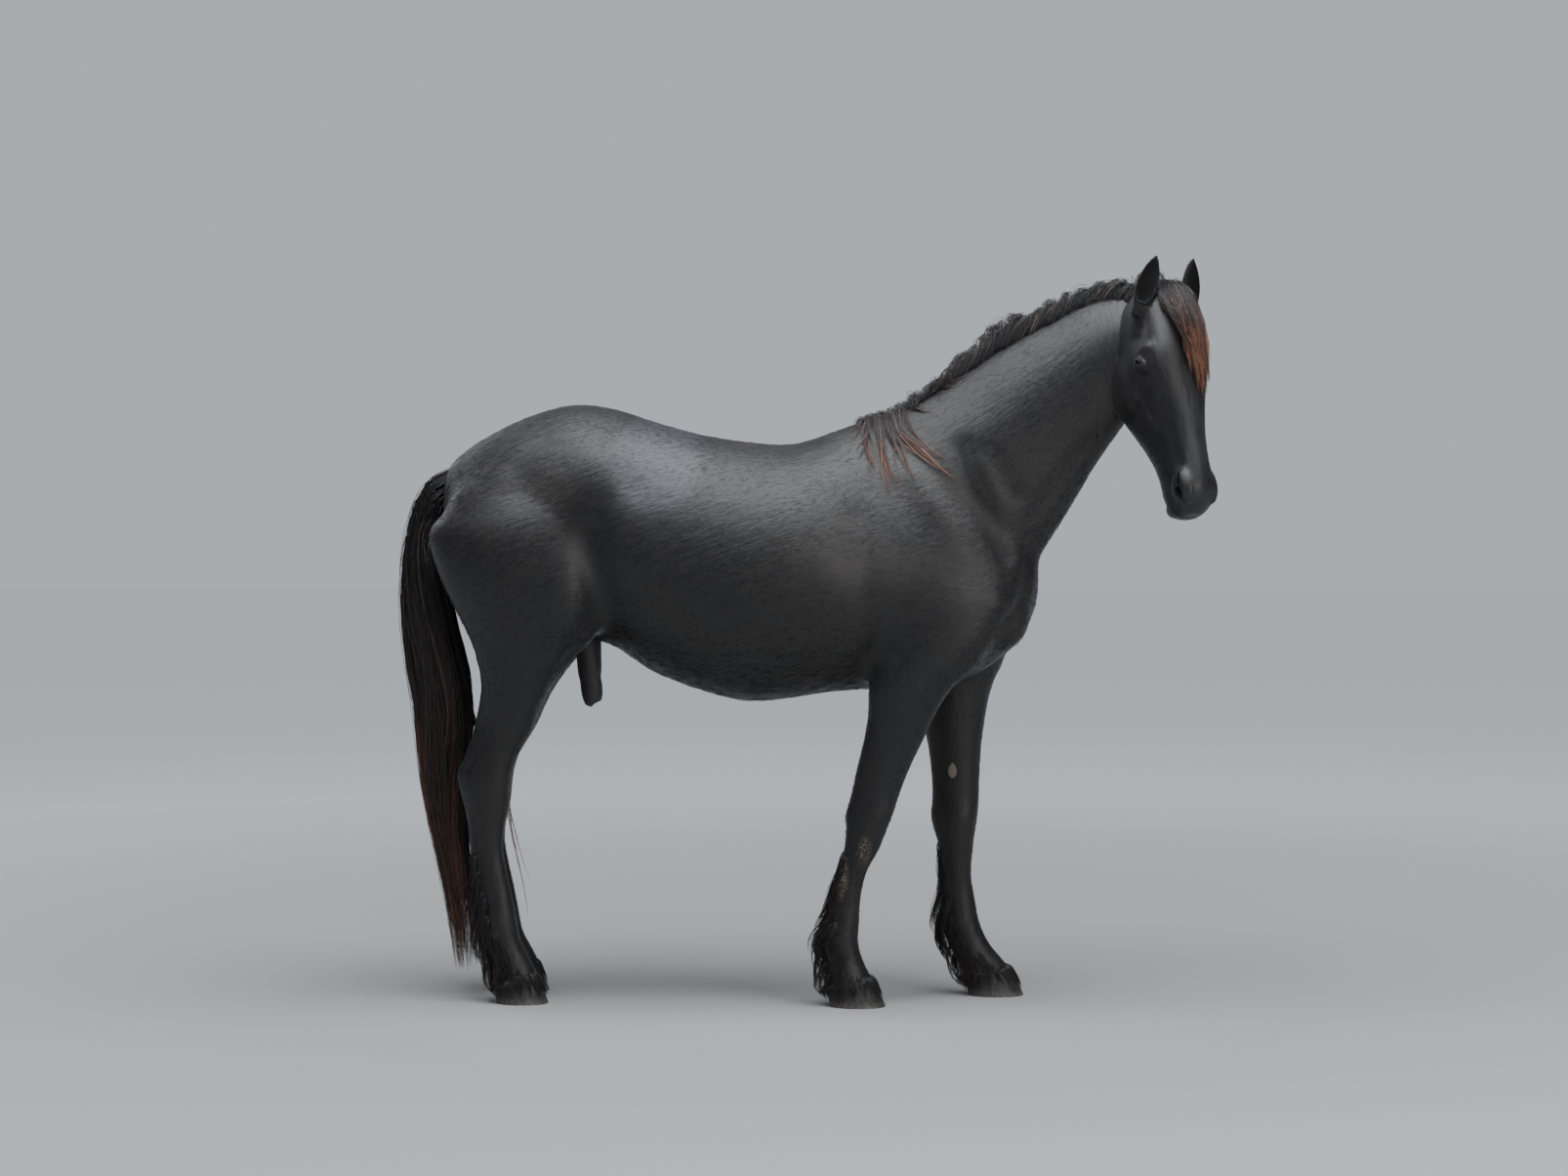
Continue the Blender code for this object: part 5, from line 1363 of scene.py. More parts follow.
def forelockLocks(tree):
    draws = random.Random(forelock["seed"])
    ahead = headFrame.to_3x3() @ Vector((1, 0, 0))
    locks = []
    for i in range(forelock["locks"]):
        share = (i + 0.5) / forelock["locks"] * 2 - 1
        root = 0.004 + 0.034 * share + draws.uniform(-0.006, 0.006)
        bulge = 0.006 + 0.062 * share + draws.uniform(-0.008, 0.008)
        end = 0.026 + 0.030 * share + draws.uniform(-0.012, 0.012)
        low = (0.33 - 0.075 * abs(share - 0.15) ** 1.5) * draws.uniform(0.86, 1.06)
        path = [onHead(0.030, 0.060, root), onHead(-0.004, 0.050, root + 0.002)]
        for step in (0.14, 0.30, 0.50, 0.70, 0.86, 1.0):
            blend = float(np.interp(step, (0, 0.3, 1), (0, 1, 0)))
            early = root if step < 0.3 else end
            left = early + (bulge - early) * blend
            spot = onHead(low * step, 0, left)
            hit = tree.ray_cast(spot + ahead * 0.4, -ahead)[0]
            rear = hit if hit is not None else spot
            path.append(rear + ahead * (0.008 + 0.016 * draws.random() + 0.010 * math.sin(math.pi * step)))
        locks.append(
            {
                "path": path,
                "facing": tuple(ahead),
                "width": (0.014, 0.019, 0.013, 0.003),
                "depth": (0.014, 0.018, 0.010, 0.003),
                "count": forelock["strands"],
                "red": draws.uniform(0.65, 1.0) if i % 3 else draws.uniform(0.25, 0.5),
            }
        )
    return locks


# Tail: height, middle and half depth of the fall of hair in x, half width in y.
tailRows = (
    (1.465, -0.946, 0.026, 0.032),
    (1.420, -0.965, 0.036, 0.040),
    (1.370, -0.984, 0.042, 0.046),
    (1.270, -1.000, 0.050, 0.058),
    (1.100, -0.994, 0.066, 0.070),
    (0.940, -0.964, 0.084, 0.072),
    (0.800, -0.942, 0.084, 0.068),
    (0.620, -0.944, 0.066, 0.056),
    (0.450, -0.925, 0.056, 0.048),
    (0.300, -0.897, 0.044, 0.042),
    (0.060, -0.880, 0.034, 0.034),
)
tail = {"locks": 92, "strands": 42, "steps": 14, "seed": 8, "tip": 0.070}
tailForm = {
    "wave": 0.010,
    "turns": 2.2,
    "shorter": 0.45,
    "stray": 1.2,
    "redSpread": 0.14,
    "room": 0.004,
    "radius": 0.00078,
}


def tailSpot(height, angle, reach):
    rows = np.array(tailRows)[::-1]
    middle, deep, wide = (np.interp(height, rows[:, 0], rows[:, k]) for k in (1, 2, 3))
    return Vector((middle - deep * reach * math.cos(angle), wide * reach * math.sin(angle), height))


def tailLocks(tree):
    draws = random.Random(tail["seed"])
    locks = []
    for i in range(tail["locks"]):
        angle = 2 * math.pi * (i * 0.382 % 1)
        start = 1.462 - 0.36 * (i / tail["locks"]) ** 0.8
        angle = math.atan2(math.sin(angle), math.cos(angle) + 0.35)
        end = tail["tip"] + (0.55 * draws.random() ** 1.8 if i % 4 else 0.04 * draws.random())
        reach = draws.uniform(0.55, 1.0)
        # the uppermost locks come out of the croup, lower ones out of the dock
        inside = max(0, 1 - 2.2 * i / tail["locks"])
        path = [
            tailSpot(start, angle, 0.05) + inside * Vector((0.055, 0, 0.012)),
            tailSpot(start - 0.035, angle, 0.80),
        ]
        for step in (0.12, 0.26, 0.42, 0.58, 0.74, 0.88, 1.0):
            z = start - (start - end) * step
            path.append(
                tailSpot(z, angle + 0.35 * math.sin(step * 4 + i), reach * (1.0 if step < 0.9 else 0.78))
            )
        outward = (-math.cos(angle), math.sin(angle), 0.05)
        locks.append(
            {
                "path": path,
                "facing": outward,
                "width": (0.018, 0.034, 0.034, 0.007),
                "depth": (0.012, 0.018, 0.018, 0.005),
                "count": tail["strands"],
                "red": draws.choice((0.12, 0.20, 0.35, 0.60)) + 0.22 * max(0, math.cos(angle)),
            }
        )
    return locks


def betweenLegsLocks():
    # a few long strands that hang between the hind legs
    locks = []
    for i in range(3):
        aside = 0.012 * (i - 1)
        low = 0.225 + 0.09 * i
        path = [
            (-0.985, aside, 1.250),
            (-0.960, aside, 1.100),
            (-0.905, aside, 0.900),
            (-0.845, aside, 0.720),
            (-0.775, aside * 2, 0.560),
            (-0.738, aside * 2, 0.400),
            (-0.715 + 0.01 * i, aside * 2, low),
        ]
        locks.append(
            {
                "path": [Vector(p) for p in path],
                "facing": (1, 0, 0.3),
                "width": (0.010, 0.016, 0.014, 0.003),
                "depth": (0.008, 0.010, 0.008, 0.002),
                "count": 22,
                "red": 0.75,
            }
        )
    return locks


# Feathering: rows down the back of the cannon, round the fetlock and pastern, and over the coronet.
# Each row: locks, highest and lowest root, widest turn from the rear at both, shortest and longest lock.
feather = {
    "rows": (
        (26, 0.430, 0.220, 0.40, 0.80, 0.085, 0.155),
        (56, 0.250, 0.092, 0.90, 1.90, 0.080, 0.160),
        (44, 0.088, 0.076, 3.14, 3.14, 0.052, 0.084),
    ),
    "strands": 14,
    "steps": 8,
    "legY": 0.128,
    "lowest": 0.014,
}
featherForm = {
    "wave": 0.004,
    "turns": 0.9,
    "shorter": 0.5,
    "stray": 1.3,
    "redSpread": 0.10,
    "room": 0.0025,
    "radius": 0.00062,
}
# how far the feathering stands off the leg at the rear, by height
featherBulge = ((0.02, 0.010), (0.06, 0.026), (0.13, 0.038), (0.21, 0.028), (0.28, 0.014), (0.44, 0.004))


def featherLocks(tree, stations, side, moveBack, seed):
    draws = random.Random(seed)
    levels = np.array(sorted(row[:3] for row in stations))
    heights, bulges = zip(*featherBulge)
    locks = []
    for count, high, low, turnHigh, turnLow, least, most in feather["rows"]:
        for i in range(count):
            share = (i + draws.random()) / count
            top = high + (low - high) * share
            turn = draws.uniform(-1, 1) * (turnHigh + (turnLow - turnHigh) * share)
            away = Vector((-math.cos(turn), math.sin(turn), 0))
            rearward = max(0, math.cos(turn))
            if count == feather["rows"][-1][0]:
                top -= 0.036 * rearward
            end = max(
                feather["lowest"] + 0.02 * draws.random(),
                top - (least + (most - least) * draws.random() * (0.4 + 0.6 * rearward)),
            )
            loose = draws.random() ** 0.8 * (0.06 + 0.94 * rearward)
            path = []
            for step in (0.0, 0.08, 0.30, 0.55, 0.80, 1.0):
                z = top + (end - top) * step
                rear, front = (np.interp(z, levels[:, 0], levels[:, k]) - moveBack for k in (1, 2))
                middle = Vector((rear * 0.45 + front * 0.55, side * feather["legY"], z))
                hit = tree.ray_cast(middle + away * 0.3, -away)[0] or (path[-1] if path else middle)
                bulge = float(np.interp(z, heights, bulges))
                out = bulge * loose * min(1, step * 2.2) + 0.003 * min(1, step * 8)
                path.append(hit + away * (out if step > 0 else -0.004))
            locks.append(
                {
                    "path": path,
                    "facing": tuple(away),
                    "width": (0.018, 0.026, 0.022, 0.008),
                    "depth": [thick * (0.35 + 0.65 * rearward) for thick in (0.005, 0.010, 0.010, 0.003)],
                    "count": feather["strands"],
                    "red": 0.10 + 0.10 * rearward,
                }
            )
    return locks


# Long thin locks at the withers that fall on the right shoulder: root x, end x, end height.
witherEnds = (
    (0.205, 0.200, 1.555, 0.45),
    (0.222, 0.226, 1.500, 0.60),
    (0.236, 0.262, 1.452, 0.80),
    (0.246, 0.296, 1.425, 0.75),
    (0.252, 0.325, 1.398, 0.95),
    (0.270, 0.338, 1.480, 0.60),
    (0.284, 0.372, 1.452, 0.80),
    (0.292, 0.410, 1.470, 0.70),
    (0.300, 0.470, 1.414, 0.95),
    (0.312, 0.436, 1.462, 0.80),
    (0.345, 0.405, 1.622, 0.45),
    (0.372, 0.352, 1.640, 0.35),
    (0.405, 0.440, 1.712, 0.30), (0.430, 0.482, 1.690, 0.40), (0.452, 0.470, 1.735, 0.30),
)
witherForm = {
    "wave": 0.006,
    "turns": 1.2,
    "shorter": 0.60,
    "stray": 2.2,
    "redSpread": 0.18,
    "room": 0.003,
    "radius": 0.00068,
}


def witherLocks(tree):
    draws = random.Random(41)
    locks = []
    for root, end, low, red in witherEnds:
        for _ in range(3):
            start = root + draws.uniform(-0.012, 0.012)
            finish, lowest = end + draws.uniform(-0.016, 0.016), low + draws.uniform(-0.020, 0.030)
            top = crestPoint(tree, start)
            swing = draws.uniform(-0.014, 0.014)
            path = [top - Vector((0, 0, 0.008)), top + Vector((0.002, -0.008, 0.012))]
            for step in (0.25, 0.5, 0.75, 1.0):
                x = start + (finish - start) * step**1.3 + swing * math.sin(step * math.pi * 1.4)
                z = top.z + (lowest - top.z) * step
                side = tree.ray_cast(Vector((x, -1.0, z)), Vector((0, 1, 0)))[0] or path[-1]
                path.append(Vector((x, side.y - 0.006 - 0.006 * draws.random(), z)))
            locks.append(
                {
                    "path": path,
                    "facing": (0, -0.9, 0.4),
                    "width": (0.012, 0.010, 0.006, 0.001),
                    "depth": (0.006, 0.006, 0.004, 0.001),
                    "count": 12,
                    "red": red,
                }
            )
    return locks


# Hooves: toe and heel on the floor, toe and heel at the coronet with their heights, half widths below
# and above, middle.
hooves = {
    "hoof_fore_right": (0.287, 0.130, 0.252, 0.116, 0.083, 0.040, 0.068, 0.052, -0.128),
    "hoof_fore_left": (0.660, 0.502, 0.624, 0.484, 0.083, 0.040, 0.068, 0.052, 0.128),
    "hoof_hind_right": (-0.640, -0.788, -0.671, -0.796, 0.083, 0.040, 0.063, 0.050, -0.128),
    "hoof_hind_left": (-0.670, -0.818, -0.701, -0.826, 0.083, 0.040, 0.063, 0.050, 0.128),
}
hoofRings = (
    (0.0, 0.004),
    (0.0, 0.0005),
    (0.04, 0.0),
    (0.3, 0.0006),
    (0.6, 0.0012),
    (0.88, 0.0014),
    (0.97, 0.0022),
    (1.0, 0.006),
)


def hoofMesh(size):
    toe, heel, topToe, topHeel, high, low, half, topHalf, middle = size
    rings = []
    for share, inset in hoofRings:
        front, rear = toe + (topToe - toe) * share - inset, heel + (topHeel - heel) * share + inset
        width = half + (topHalf - half) * share - inset
        ring = []
        for i in range(48):
            t = 2 * math.pi * i / 48
            ahead = math.cos(t)
            # broad and round at the toe, narrower at the heels with a shallow notch between them
            wide = width * bentPower(math.sin(t), 2.3) * (1 - 0.16 * max(0, -ahead) ** 1.5)
            long = bentPower(ahead, 2.2)
            notch = 0.010 * math.exp(-((math.sin(t) / 0.35) ** 2)) if ahead < 0 else 0
            x = (front + rear) / 2 + (front - rear) / 2 * long + notch
            lift = (high * (x - topHeel) + low * (topToe - x)) / (topToe - topHeel) if share > 0 else 0
            ring.append((x, middle + wide, share * max(lift, low * 0.8)))
        rings.append(ring)
    return loftMesh("hoof", rings)


def hoofMaterial():
    made = bpy.data.materials.new("hoofLook")
    made.use_nodes = True
    tree = made.node_tree
    shader = tree.nodes["Principled BSDF"]
    place = addNode(tree, "ShaderNodeNewGeometry").outputs["Position"]
    apart = addNode(tree, "ShaderNodeSeparateXYZ")
    feed(tree, apart.inputs[0], place)
    stretched = addNode(tree, "ShaderNodeVectorMath", operation="MULTIPLY")
    feed(tree, stretched.inputs[0], place)
    stretched.inputs[1].default_value = (1.0, 1.0, 0.10)
    streaks = noiseNode(tree, stretched.outputs[0], 320.0, 3.0)
    warp = mathNode(tree, "MULTIPLY", noiseNode(tree, place, 14.0, 2.0), 0.012)
    height = mathNode(tree, "ADD", apart.outputs["Z"], warp)
    rings = mathNode(tree, "SINE", mathNode(tree, "MULTIPLY", height, 900.0))
    worn = rangeNode(tree, height, 0.026, 0.008)
    base = mixColour(tree, rangeNode(tree, streaks, 0.35, 0.70), (0.012, 0.011, 0.011), (0.034, 0.031, 0.028))
    paler = mathNode(tree, "MULTIPLY", worn, rangeNode(tree, streaks, 0.36, 0.66, 0.15, 0.8))
    base = mixColour(tree, paler, base, (0.170, 0.152, 0.132))
    feed(tree, shader.inputs["Base Color"], base)
    shader.inputs["Roughness"].default_value = 0.55
    bumps = addNode(tree, "ShaderNodeBump")
    bumps.inputs["Strength"].default_value = 0.5
    bumps.inputs["Distance"].default_value = 0.0008
    feed(tree, bumps.inputs["Height"], mathNode(tree, "MULTIPLY_ADD", rings, 0.25, streaks))
    feed(tree, shader.inputs["Normal"], bumps.outputs["Normal"])
    return made


def eyeMesh(side):
    # a ball turned with the head
    place = Matrix.Translation(eyePlace(side)) @ headFrame.to_3x3().to_4x4()
    turn = Matrix.Rotation(math.radians(90), 4, "X")
    return sphereMesh("eye", place @ turn @ Matrix.Diagonal((eye["radius"],) * 3 + (1,)), 48, 32)


def eyeMaterial():
    made = bpy.data.materials.new("eyeLook")
    made.use_nodes = True
    tree = made.node_tree
    shader = tree.nodes["Principled BSDF"]
    base = mixColour(tree, attributeValue(tree, "pupil"), (0.0300, 0.0160, 0.0090), (0.0020, 0.0020, 0.0025))
    feed(tree, shader.inputs["Base Color"], base)
    shader.inputs["Roughness"].default_value = 0.06
    shader.inputs["Coat Weight"].default_value = 0.6
    shader.inputs["Coat Roughness"].default_value = 0.02
    return made


def eyeObject(name, side):
    made = looseObject(name, eyeMesh(side))
    local = headCoords(pointsOf(made.data)) - headCoords(np.array([eyePlace(side)]))
    out = local[:, 2] * side / eye["radius"]
    wide = np.hypot(local[:, 0] * 1.7, local[:, 1]) / eye["radius"]
    pupil = (out > 0) * smoothStep(0.56, 0.48, wide)
    made.data.attributes.new("pupil", "FLOAT", "POINT").data.foreach_set("value", pupil.astype(np.float32))
    made.data.shade_smooth()
    return made


# Sheath: centre x, y, z and radius along its middle.
sheathRows = (
    (-0.548, 0, 1.030, 0.040),
    (-0.545, 0, 0.985, 0.037),
    (-0.541, 0, 0.940, 0.034),
    (-0.538, 0, 0.905, 0.0325),
    (-0.536, 0, 0.880, 0.0290),
    (-0.534, 0, 0.862, 0.0295),
    (-0.532, 0, 0.842, 0.0285),
    (-0.530, 0, 0.826, 0.0250),
    (-0.529, 0, 0.815, 0.0180), (-0.529, 0, 0.811, 0.0070),
)


def sheathMesh():
    rings = []
    for x, y, z, radius in smoothRows(sheathRows, 46):
        ring = []
        for i in range(40):
            t = 2 * math.pi * i / 40
            ripple = 1 + 0.025 * math.sin(3 * t + 40 * z) * min(1, max(0, (z - 0.82) * 20))
            ring.append(
                (
                    x + radius * ripple * math.cos(t),
                    y + radius * ripple * math.sin(t),
                    z + 0.006 * math.cos(t),
                )
            )
        rings.append(ring)
    return loftMesh("sheath", rings)


def bareMaterial():
    made = bpy.data.materials.new("bareLook")
    made.use_nodes = True
    tree = made.node_tree
    shader = tree.nodes["Principled BSDF"]
    spots = noiseNode(tree, None, 60.0, 4.0)
    base = mixColour(
        tree, rangeNode(tree, spots, 0.35, 0.70), (0.0120, 0.0110, 0.0130), (0.0380, 0.0330, 0.0360)
    )
    feed(tree, shader.inputs["Base Color"], base)
    shader.inputs["Roughness"].default_value = 0.5
    bumps = addNode(tree, "ShaderNodeBump")
    bumps.inputs["Strength"].default_value = 0.4
    bumps.inputs["Distance"].default_value = 0.001
    feed(tree, bumps.inputs["Height"], noiseNode(tree, None, 260.0, 3.0))
    feed(tree, shader.inputs["Normal"], bumps.outputs["Normal"])
    return made


# Chestnuts: horny patches on the inner side of the forearms, as x, z, half height, half width.
chestnuts = {
    "chestnutLeft": (0.462, 0.628, 0.0215, 0.0125, 1),
    "chestnutRight": (0.300, 0.640, 0.0200, 0.0120, -1),
}


def chestnutObject(name, tree):
    x, z, high, wide, side = chestnuts[name]
    hit, normal, _, _ = tree.ray_cast(Vector((x, 0, z)), Vector((0, side, 0)))
    place = frameAt(hit, normal, (0, 0, 1))
    shape = bmesh.new()
    bmesh.ops.create_uvsphere(shape, u_segments=28, v_segments=16, radius=1)
    for vertex in shape.verts:
        vertex.co.x *= 1 - 0.45 * max(0, vertex.co.y) ** 1.5
    shape.transform(place @ Matrix.Diagonal((wide, high, 0.0035, 1)))
    return looseObject(name, outwardMesh(name, shape))


tufts = {"count": 44000, "each": 19000, "seed": 12}
# length, width and stand of the coat's tufts by region
tuftSizes = {
    "trunk": (0.0170, 0.0012, 0.0009),
    "onNeck": (0.0160, 0.0012, 0.0010),
    "onLegs": (0.0110, 0.0010, 0.0008),
    "onHead": (0.0070, 0.0007, 0.0004),
}


def tuftRoots(obj, masks, draws):
    # random places on the skin, spread by area, with everything that the skin knows there
    mesh = obj.data
    mesh.calc_loop_triangles()
    faces = np.empty(len(mesh.loop_triangles) * 3, np.int32)
    mesh.loop_triangles.foreach_get("vertices", faces)
    faces = faces.reshape(-1, 3)
    points, normals = pointsOf(mesh), normalsOf(mesh)
    corners = points[faces]
    areas = np.linalg.norm(np.cross(corners[:, 1] - corners[:, 0], corners[:, 2] - corners[:, 0]), axis=1) / 2
    weight = masks["onHead"][faces].mean(axis=1)
    hidden = (corners[:, :, 2].mean(axis=1) < 0.075) | (masks["deep"][faces].mean(axis=1) > 0.5)
    chances = areas * (1 + 1.2 * weight) * np.where(hidden, 0, 1)
    picked = draws.choice(len(faces), tufts["count"], p=chances / chances.sum())
    a, b = draws.random(tufts["count"]), draws.random(tufts["count"])
    over = a + b > 1
    a[over], b[over] = 1 - a[over], 1 - b[over]
    shares = np.stack([1 - a - b, a, b], axis=1)

    def take(values):
        weights = shares[:, :, None] if values.ndim == 2 else shares
        return (values[faces[picked]] * weights).sum(axis=1)

    return take(points), take(normals), {name: take(values) for name, values in masks.items()}


def tuftArrays(roots, normals, masks, draws):
    count = len(roots)
    normals /= np.linalg.norm(normals, axis=1, keepdims=True)
    way = np.tile(np.array(lieWays["trunk"][0]), (count, 1))
    sizes = np.tile(np.array(tuftSizes["trunk"]), (count, 1))
    for region in ("onNeck", "onLegs", "onHead"):
        share = masks[region][:, None]
        way = way * (1 - share) + np.array(lieWays[region][0]) * share
        sizes = sizes * (1 - share) + np.array(tuftSizes[region]) * share
    under = smoothStep(-0.25, -0.85, normals[:, 2]) * (1 - masks["onHead"])
    rearOfLeg = masks["onLegs"] * smoothStep(-0.2, -0.8, normals[:, 0]) * smoothStep(0.55, 0.30, roots[:, 2])
    longer = 1 + 0.7 * under + 1.1 * rearOfLeg
    sizes[:, 0] *= longer
    sizes[:, 2] *= longer
    way += 0.16 * draws.standard_normal((count, 3))
    way -= normals * (way * normals).sum(axis=1, keepdims=True)
    way /= np.maximum(np.linalg.norm(way, axis=1, keepdims=True), 1e-6)
    aside = np.cross(normals, way)
    length, width, stand = (sizes * draws.uniform(0.65, 1.35, (count, 1))).T[:, :, None]
    rings = []
    for share, wide, lift in ((0.0, 0.5, -0.5), (0.45, 1.0, 0.75), (1.0, 0.0, 1.1)):
        middle = roots + way * length * share + normals * stand * lift
        rings.append(
            [
                middle + aside * width / 2 * wide,
                middle + normals * width * 0.4 * wide,
                middle - aside * width / 2 * wide,
            ]
        )
    points = np.stack([*rings[0], *rings[1], rings[2][0]], axis=1)
    return points


tuftFaces = ((2, 1, 0), (1, 4, 3, 0), (2, 5, 4, 1), (0, 3, 5, 2), (4, 6, 3), (5, 6, 4), (3, 6, 5))


def tuftObject(name, points, normals, masks, tone, place):
    # every tuft is shaded with the skin's normal at its root, so that it blends into the coat
    count = len(points)
    mesh = bpy.data.meshes.new(name)
    mesh.vertices.add(count * 7)
    mesh.vertices.foreach_set("co", points.astype(np.float32).ravel())
    pattern = np.array([i for face in tuftFaces for i in face])
    lengths = np.array([len(face) for face in tuftFaces])
    corners = (np.arange(count)[:, None] * 7 + pattern).ravel().astype(np.int32)
    firsts = np.r_[0, np.cumsum(lengths)[:-1]]
    starts = (np.arange(count)[:, None] * len(pattern) + firsts).ravel().astype(np.int32)
    mesh.loops.add(len(corners))
    mesh.loops.foreach_set("vertex_index", corners)
    mesh.polygons.add(len(starts))
    mesh.polygons.foreach_set("loop_start", starts)
    mesh.update(calc_edges=True)
    for key, values in {**masks, "tone": tone}.items():
        mesh.attributes.new(key, "FLOAT", "POINT").data.foreach_set(
            "value", np.repeat(values, 7).astype(np.float32)
        )
    local = np.array([(0, 0), (0.5, 0), (1, 0), (0, 0.5), (0.5, 0.5), (1, 0.5), (0.5, 1)])[pattern] * patch
    uv = place[:, None] + local[None]
    mesh.uv_layers.new(name="OFBake").data.foreach_set("uv", uv.astype(np.float32).ravel())
    mesh.shade_smooth()
    mesh.normals_split_custom_set_from_vertices(np.repeat(normals, 7, axis=0))
    return looseObject(name, mesh)


def coatPieces(obj, masks, unwrap):
    draws = np.random.default_rng(tufts["seed"])
    roots, normals, carried = tuftRoots(obj, masks, draws)
    points = tuftArrays(roots, normals, carried, draws)
    tone = draws.random(len(roots))
    place = flatPlaces(unwrap, roots)
    made = []
    order = np.argsort(roots[:, 0])
    pieces = max(1, math.ceil(len(roots) / tufts["each"]))
    for i, part in enumerate(np.array_split(order, pieces)):
        here = {key: values[part] for key, values in carried.items()}
        made.append(tuftObject(f"coat{i + 1}", points[part], normals[part], here, tone[part], place[part]))
    print("coat tufts:", len(roots), "in", pieces, "pieces")
    return made


def areaLight(name, place, aim, size, power, colour):
    data = bpy.data.lights.new(name, "AREA")
    data.shape = "RECTANGLE"
    data.size, data.size_y = size
    data.energy = power
    data.color = colour
    made = looseObject(name, data)
    made.location = place
    made.rotation_euler = (Vector(aim) - Vector(place)).to_track_quat("-Z", "Y").to_euler()
    return made


photo = {"focal": 4090, "distance": 11.0, "height": 1.545, "horizon": 450, "turn": 4}


def addCamera():
    data = bpy.data.cameras.new("camera")
    data.sensor_width = 36
    data.lens = photo["focal"] / 1606 * 36
    made = looseObject("camera", data)
    turn = math.radians(photo["turn"])
    place = Vector((photo["distance"] * math.sin(turn), -photo["distance"] * math.cos(turn), photo["height"]))
    made.location = place + shift
    made.rotation_euler = (math.pi / 2 - math.atan((1204 / 2 - photo["horizon"]) / photo["focal"]), 0, turn)
    bpy.context.scene.camera = made


backdrop = {"colour": (0.82, 0.87, 0.94), "seen": 0.60, "lights": 0.14, "near": 1.4, "far": 6.5}


def addStage():
    shape = bmesh.new()
    bmesh.ops.create_grid(shape, x_segments=1, y_segments=1, size=30)
    mesh = bpy.data.meshes.new("floor")
    shape.to_mesh(mesh)
    shape.free()
    floor = looseObject("floor", mesh)
    look = flatMaterial("floorLook", (0.36, 0.36, 0.355), 0.8)
    floor.data.materials.append(look)
    # farther off the floor takes on the backdrop's own brightness, so that no horizon shows
    tree = look.node_tree
    shader = tree.nodes["Principled BSDF"]
    away = addNode(tree, "ShaderNodeVectorMath", operation="LENGTH")
    feed(tree, away.inputs[0], addNode(tree, "ShaderNodeNewGeometry").outputs["Position"])
    far = rangeNode(tree, away.outputs["Value"], backdrop["near"], backdrop["far"], 0.0, 0.86)
    shader.inputs["Emission Color"].default_value = (
        *(part * backdrop["seen"] for part in backdrop["colour"]),
        1,
    )
    feed(tree, shader.inputs["Emission Strength"], far)
    shader.inputs["Specular IOR Level"].default_value = 0.0
    world = bpy.data.worlds.new("studio")
    bpy.context.scene.world = world
    world.use_nodes = True
    # the backdrop is seen pale, and lights the horse only a little
    back = world.node_tree.nodes["Background"]
    back.inputs["Color"].default_value = (*backdrop["colour"], 1)
    seen = addNode(world.node_tree, "ShaderNodeLightPath").outputs["Is Camera Ray"]
    feed(
        world.node_tree,
        back.inputs["Strength"],
        rangeNode(world.node_tree, seen, 0, 1, backdrop["lights"], backdrop["seen"]),
    )
    areaLight("sky", (0.3, -1.2, 5.5), (0, 0, 1.0), (6, 4), 560, (0.90, 0.95, 1.0))
    areaLight("side", (4.5, -6.0, 2.8), (0.3, 0, 1.1), (3.0, 2.4), 150, (1.0, 0.97, 0.93))
    areaLight("rim", (-4.5, 3.5, 4.0), (0, 0, 1.2), (3.5, 2.5), 60, (0.95, 0.97, 1.0))


def finishPiece(obj, slot, material, *nodes):
    obj.data.transform(Matrix.Translation(shift))
    obj.data.materials.clear()
    obj.data.materials.append(material)
    obj.data.polygons.foreach_set("material_index", np.zeros(len(obj.data.polygons), np.int32))
    obj.data.update()
    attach(obj, "root")
    if nodes:
        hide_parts(*nodes)


def treeOfAll(objects):
    # one tree of all their faces, to keep hair out of skin and hoof alike
    points, faces = [], []
    for obj in objects:
        faces += [[i + len(points) for i in polygon.vertices] for polygon in obj.data.polygons]
        points += [vertex.co.copy() for vertex in obj.data.vertices]
    return BVHTree.FromPolygons(points, faces)


def smoothObject(name, mesh):
    mesh.shade_smooth()
    mesh.set_sharp_from_angle(angle=math.radians(50))
    return looseObject(name, mesh)


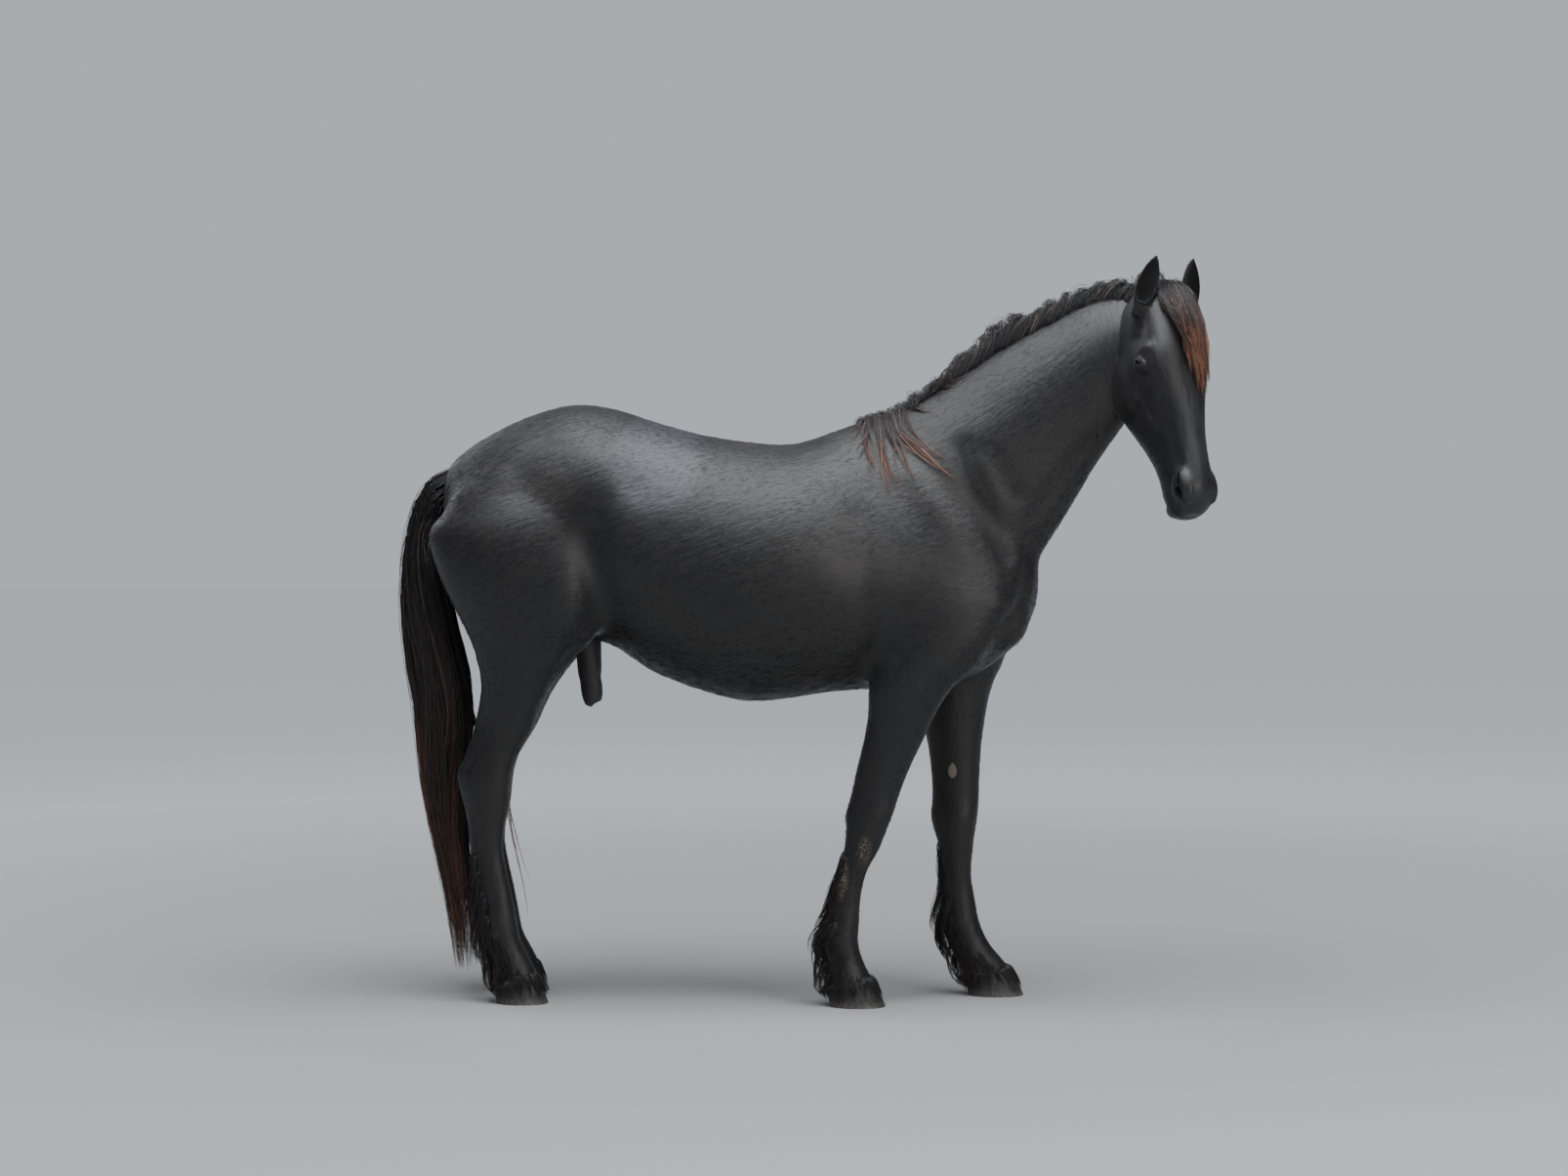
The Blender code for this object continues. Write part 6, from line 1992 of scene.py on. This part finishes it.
coat = coatMaterial()
longHair = hairMaterial()
skinObject, masks = makeSkin()
tree = treeOf(skinObject)
unwrap = unwrapOf(skinObject)
print("skin unwrapped")
hoofObjects = {node: smoothObject(node + "_horn", hoofMesh(size)) for node, size in hooves.items()}
solid = treeOfAll([skinObject, *hoofObjects.values()])
hairs = [
    *hairPiece("mane", maneLocks(tree), mane["steps"], maneForm, tree, unwrap, 31),
    *hairPiece("forelockHair", forelockLocks(tree), forelock["steps"], forelockForm, tree, unwrap, 32),
    *hairPiece("tailHair", tailLocks(tree), tail["steps"], tailForm, tree, unwrap, 33),
    *hairPiece("tailBetween", betweenLegsLocks(), tail["steps"], tailForm, tree, unwrap, 34),
    *hairPiece("withersHair", witherLocks(tree), 10, witherForm, tree, unwrap, 35),
]
legs = {
    "featherForeRight": (foreLegBack, -1, 0),
    "featherForeLeft": (foreLegAhead, 1, 0),
    "featherHindRight": (hindLeg, -1, 0),
    "featherHindLeft": (hindLeg, 1, fartherHindBack),
}
for seed, (name, leg) in enumerate(legs.items()):
    locks = featherLocks(solid, *leg, 50 + seed)
    hairs += hairPiece(name, locks, feather["steps"], featherForm, solid, unwrap, 60 + seed)
tuftObjects = coatPieces(skinObject, masks, unwrap)
finishPiece(
    skinObject, "coat", coat,
    "torso", "neck", "head", "ear_left", "ear_right",
    "foreleg_upper_left", "foreleg_upper_right", "foreleg_lower_left", "foreleg_lower_right",
    "hindleg_upper_left", "hindleg_upper_right", "hindleg_lower_left", "hindleg_lower_right",
)
for piece in hairs:
    finishPiece(piece, "long_hair", longHair, *(("tail",) if piece.name in ("tailHair", "tailHair1") else ()))
onTufts = coatMaterial("coatTuftLook", True)
for piece in tuftObjects:
    finishPiece(piece, "coat", onTufts)
horn = hoofMaterial()
for node, piece in hoofObjects.items():
    finishPiece(piece, "hoof_horn", horn, node)
wet = eyeMaterial()
for node, side in (("eye_left", 1), ("eye_right", -1)):
    finishPiece(eyeObject(node + "_ball", side), "eye", wet, node)
finishPiece(smoothObject("sheathSkin", sheathMesh()), "bare_skin", bareMaterial(), "sheath")
callous = flatMaterial("chestnutLook", (0.19, 0.16, 0.13), 0.75)
for name in chestnuts:
    finishPiece(chestnutObject(name, tree), "bare_skin", callous)
addStage()
addCamera()
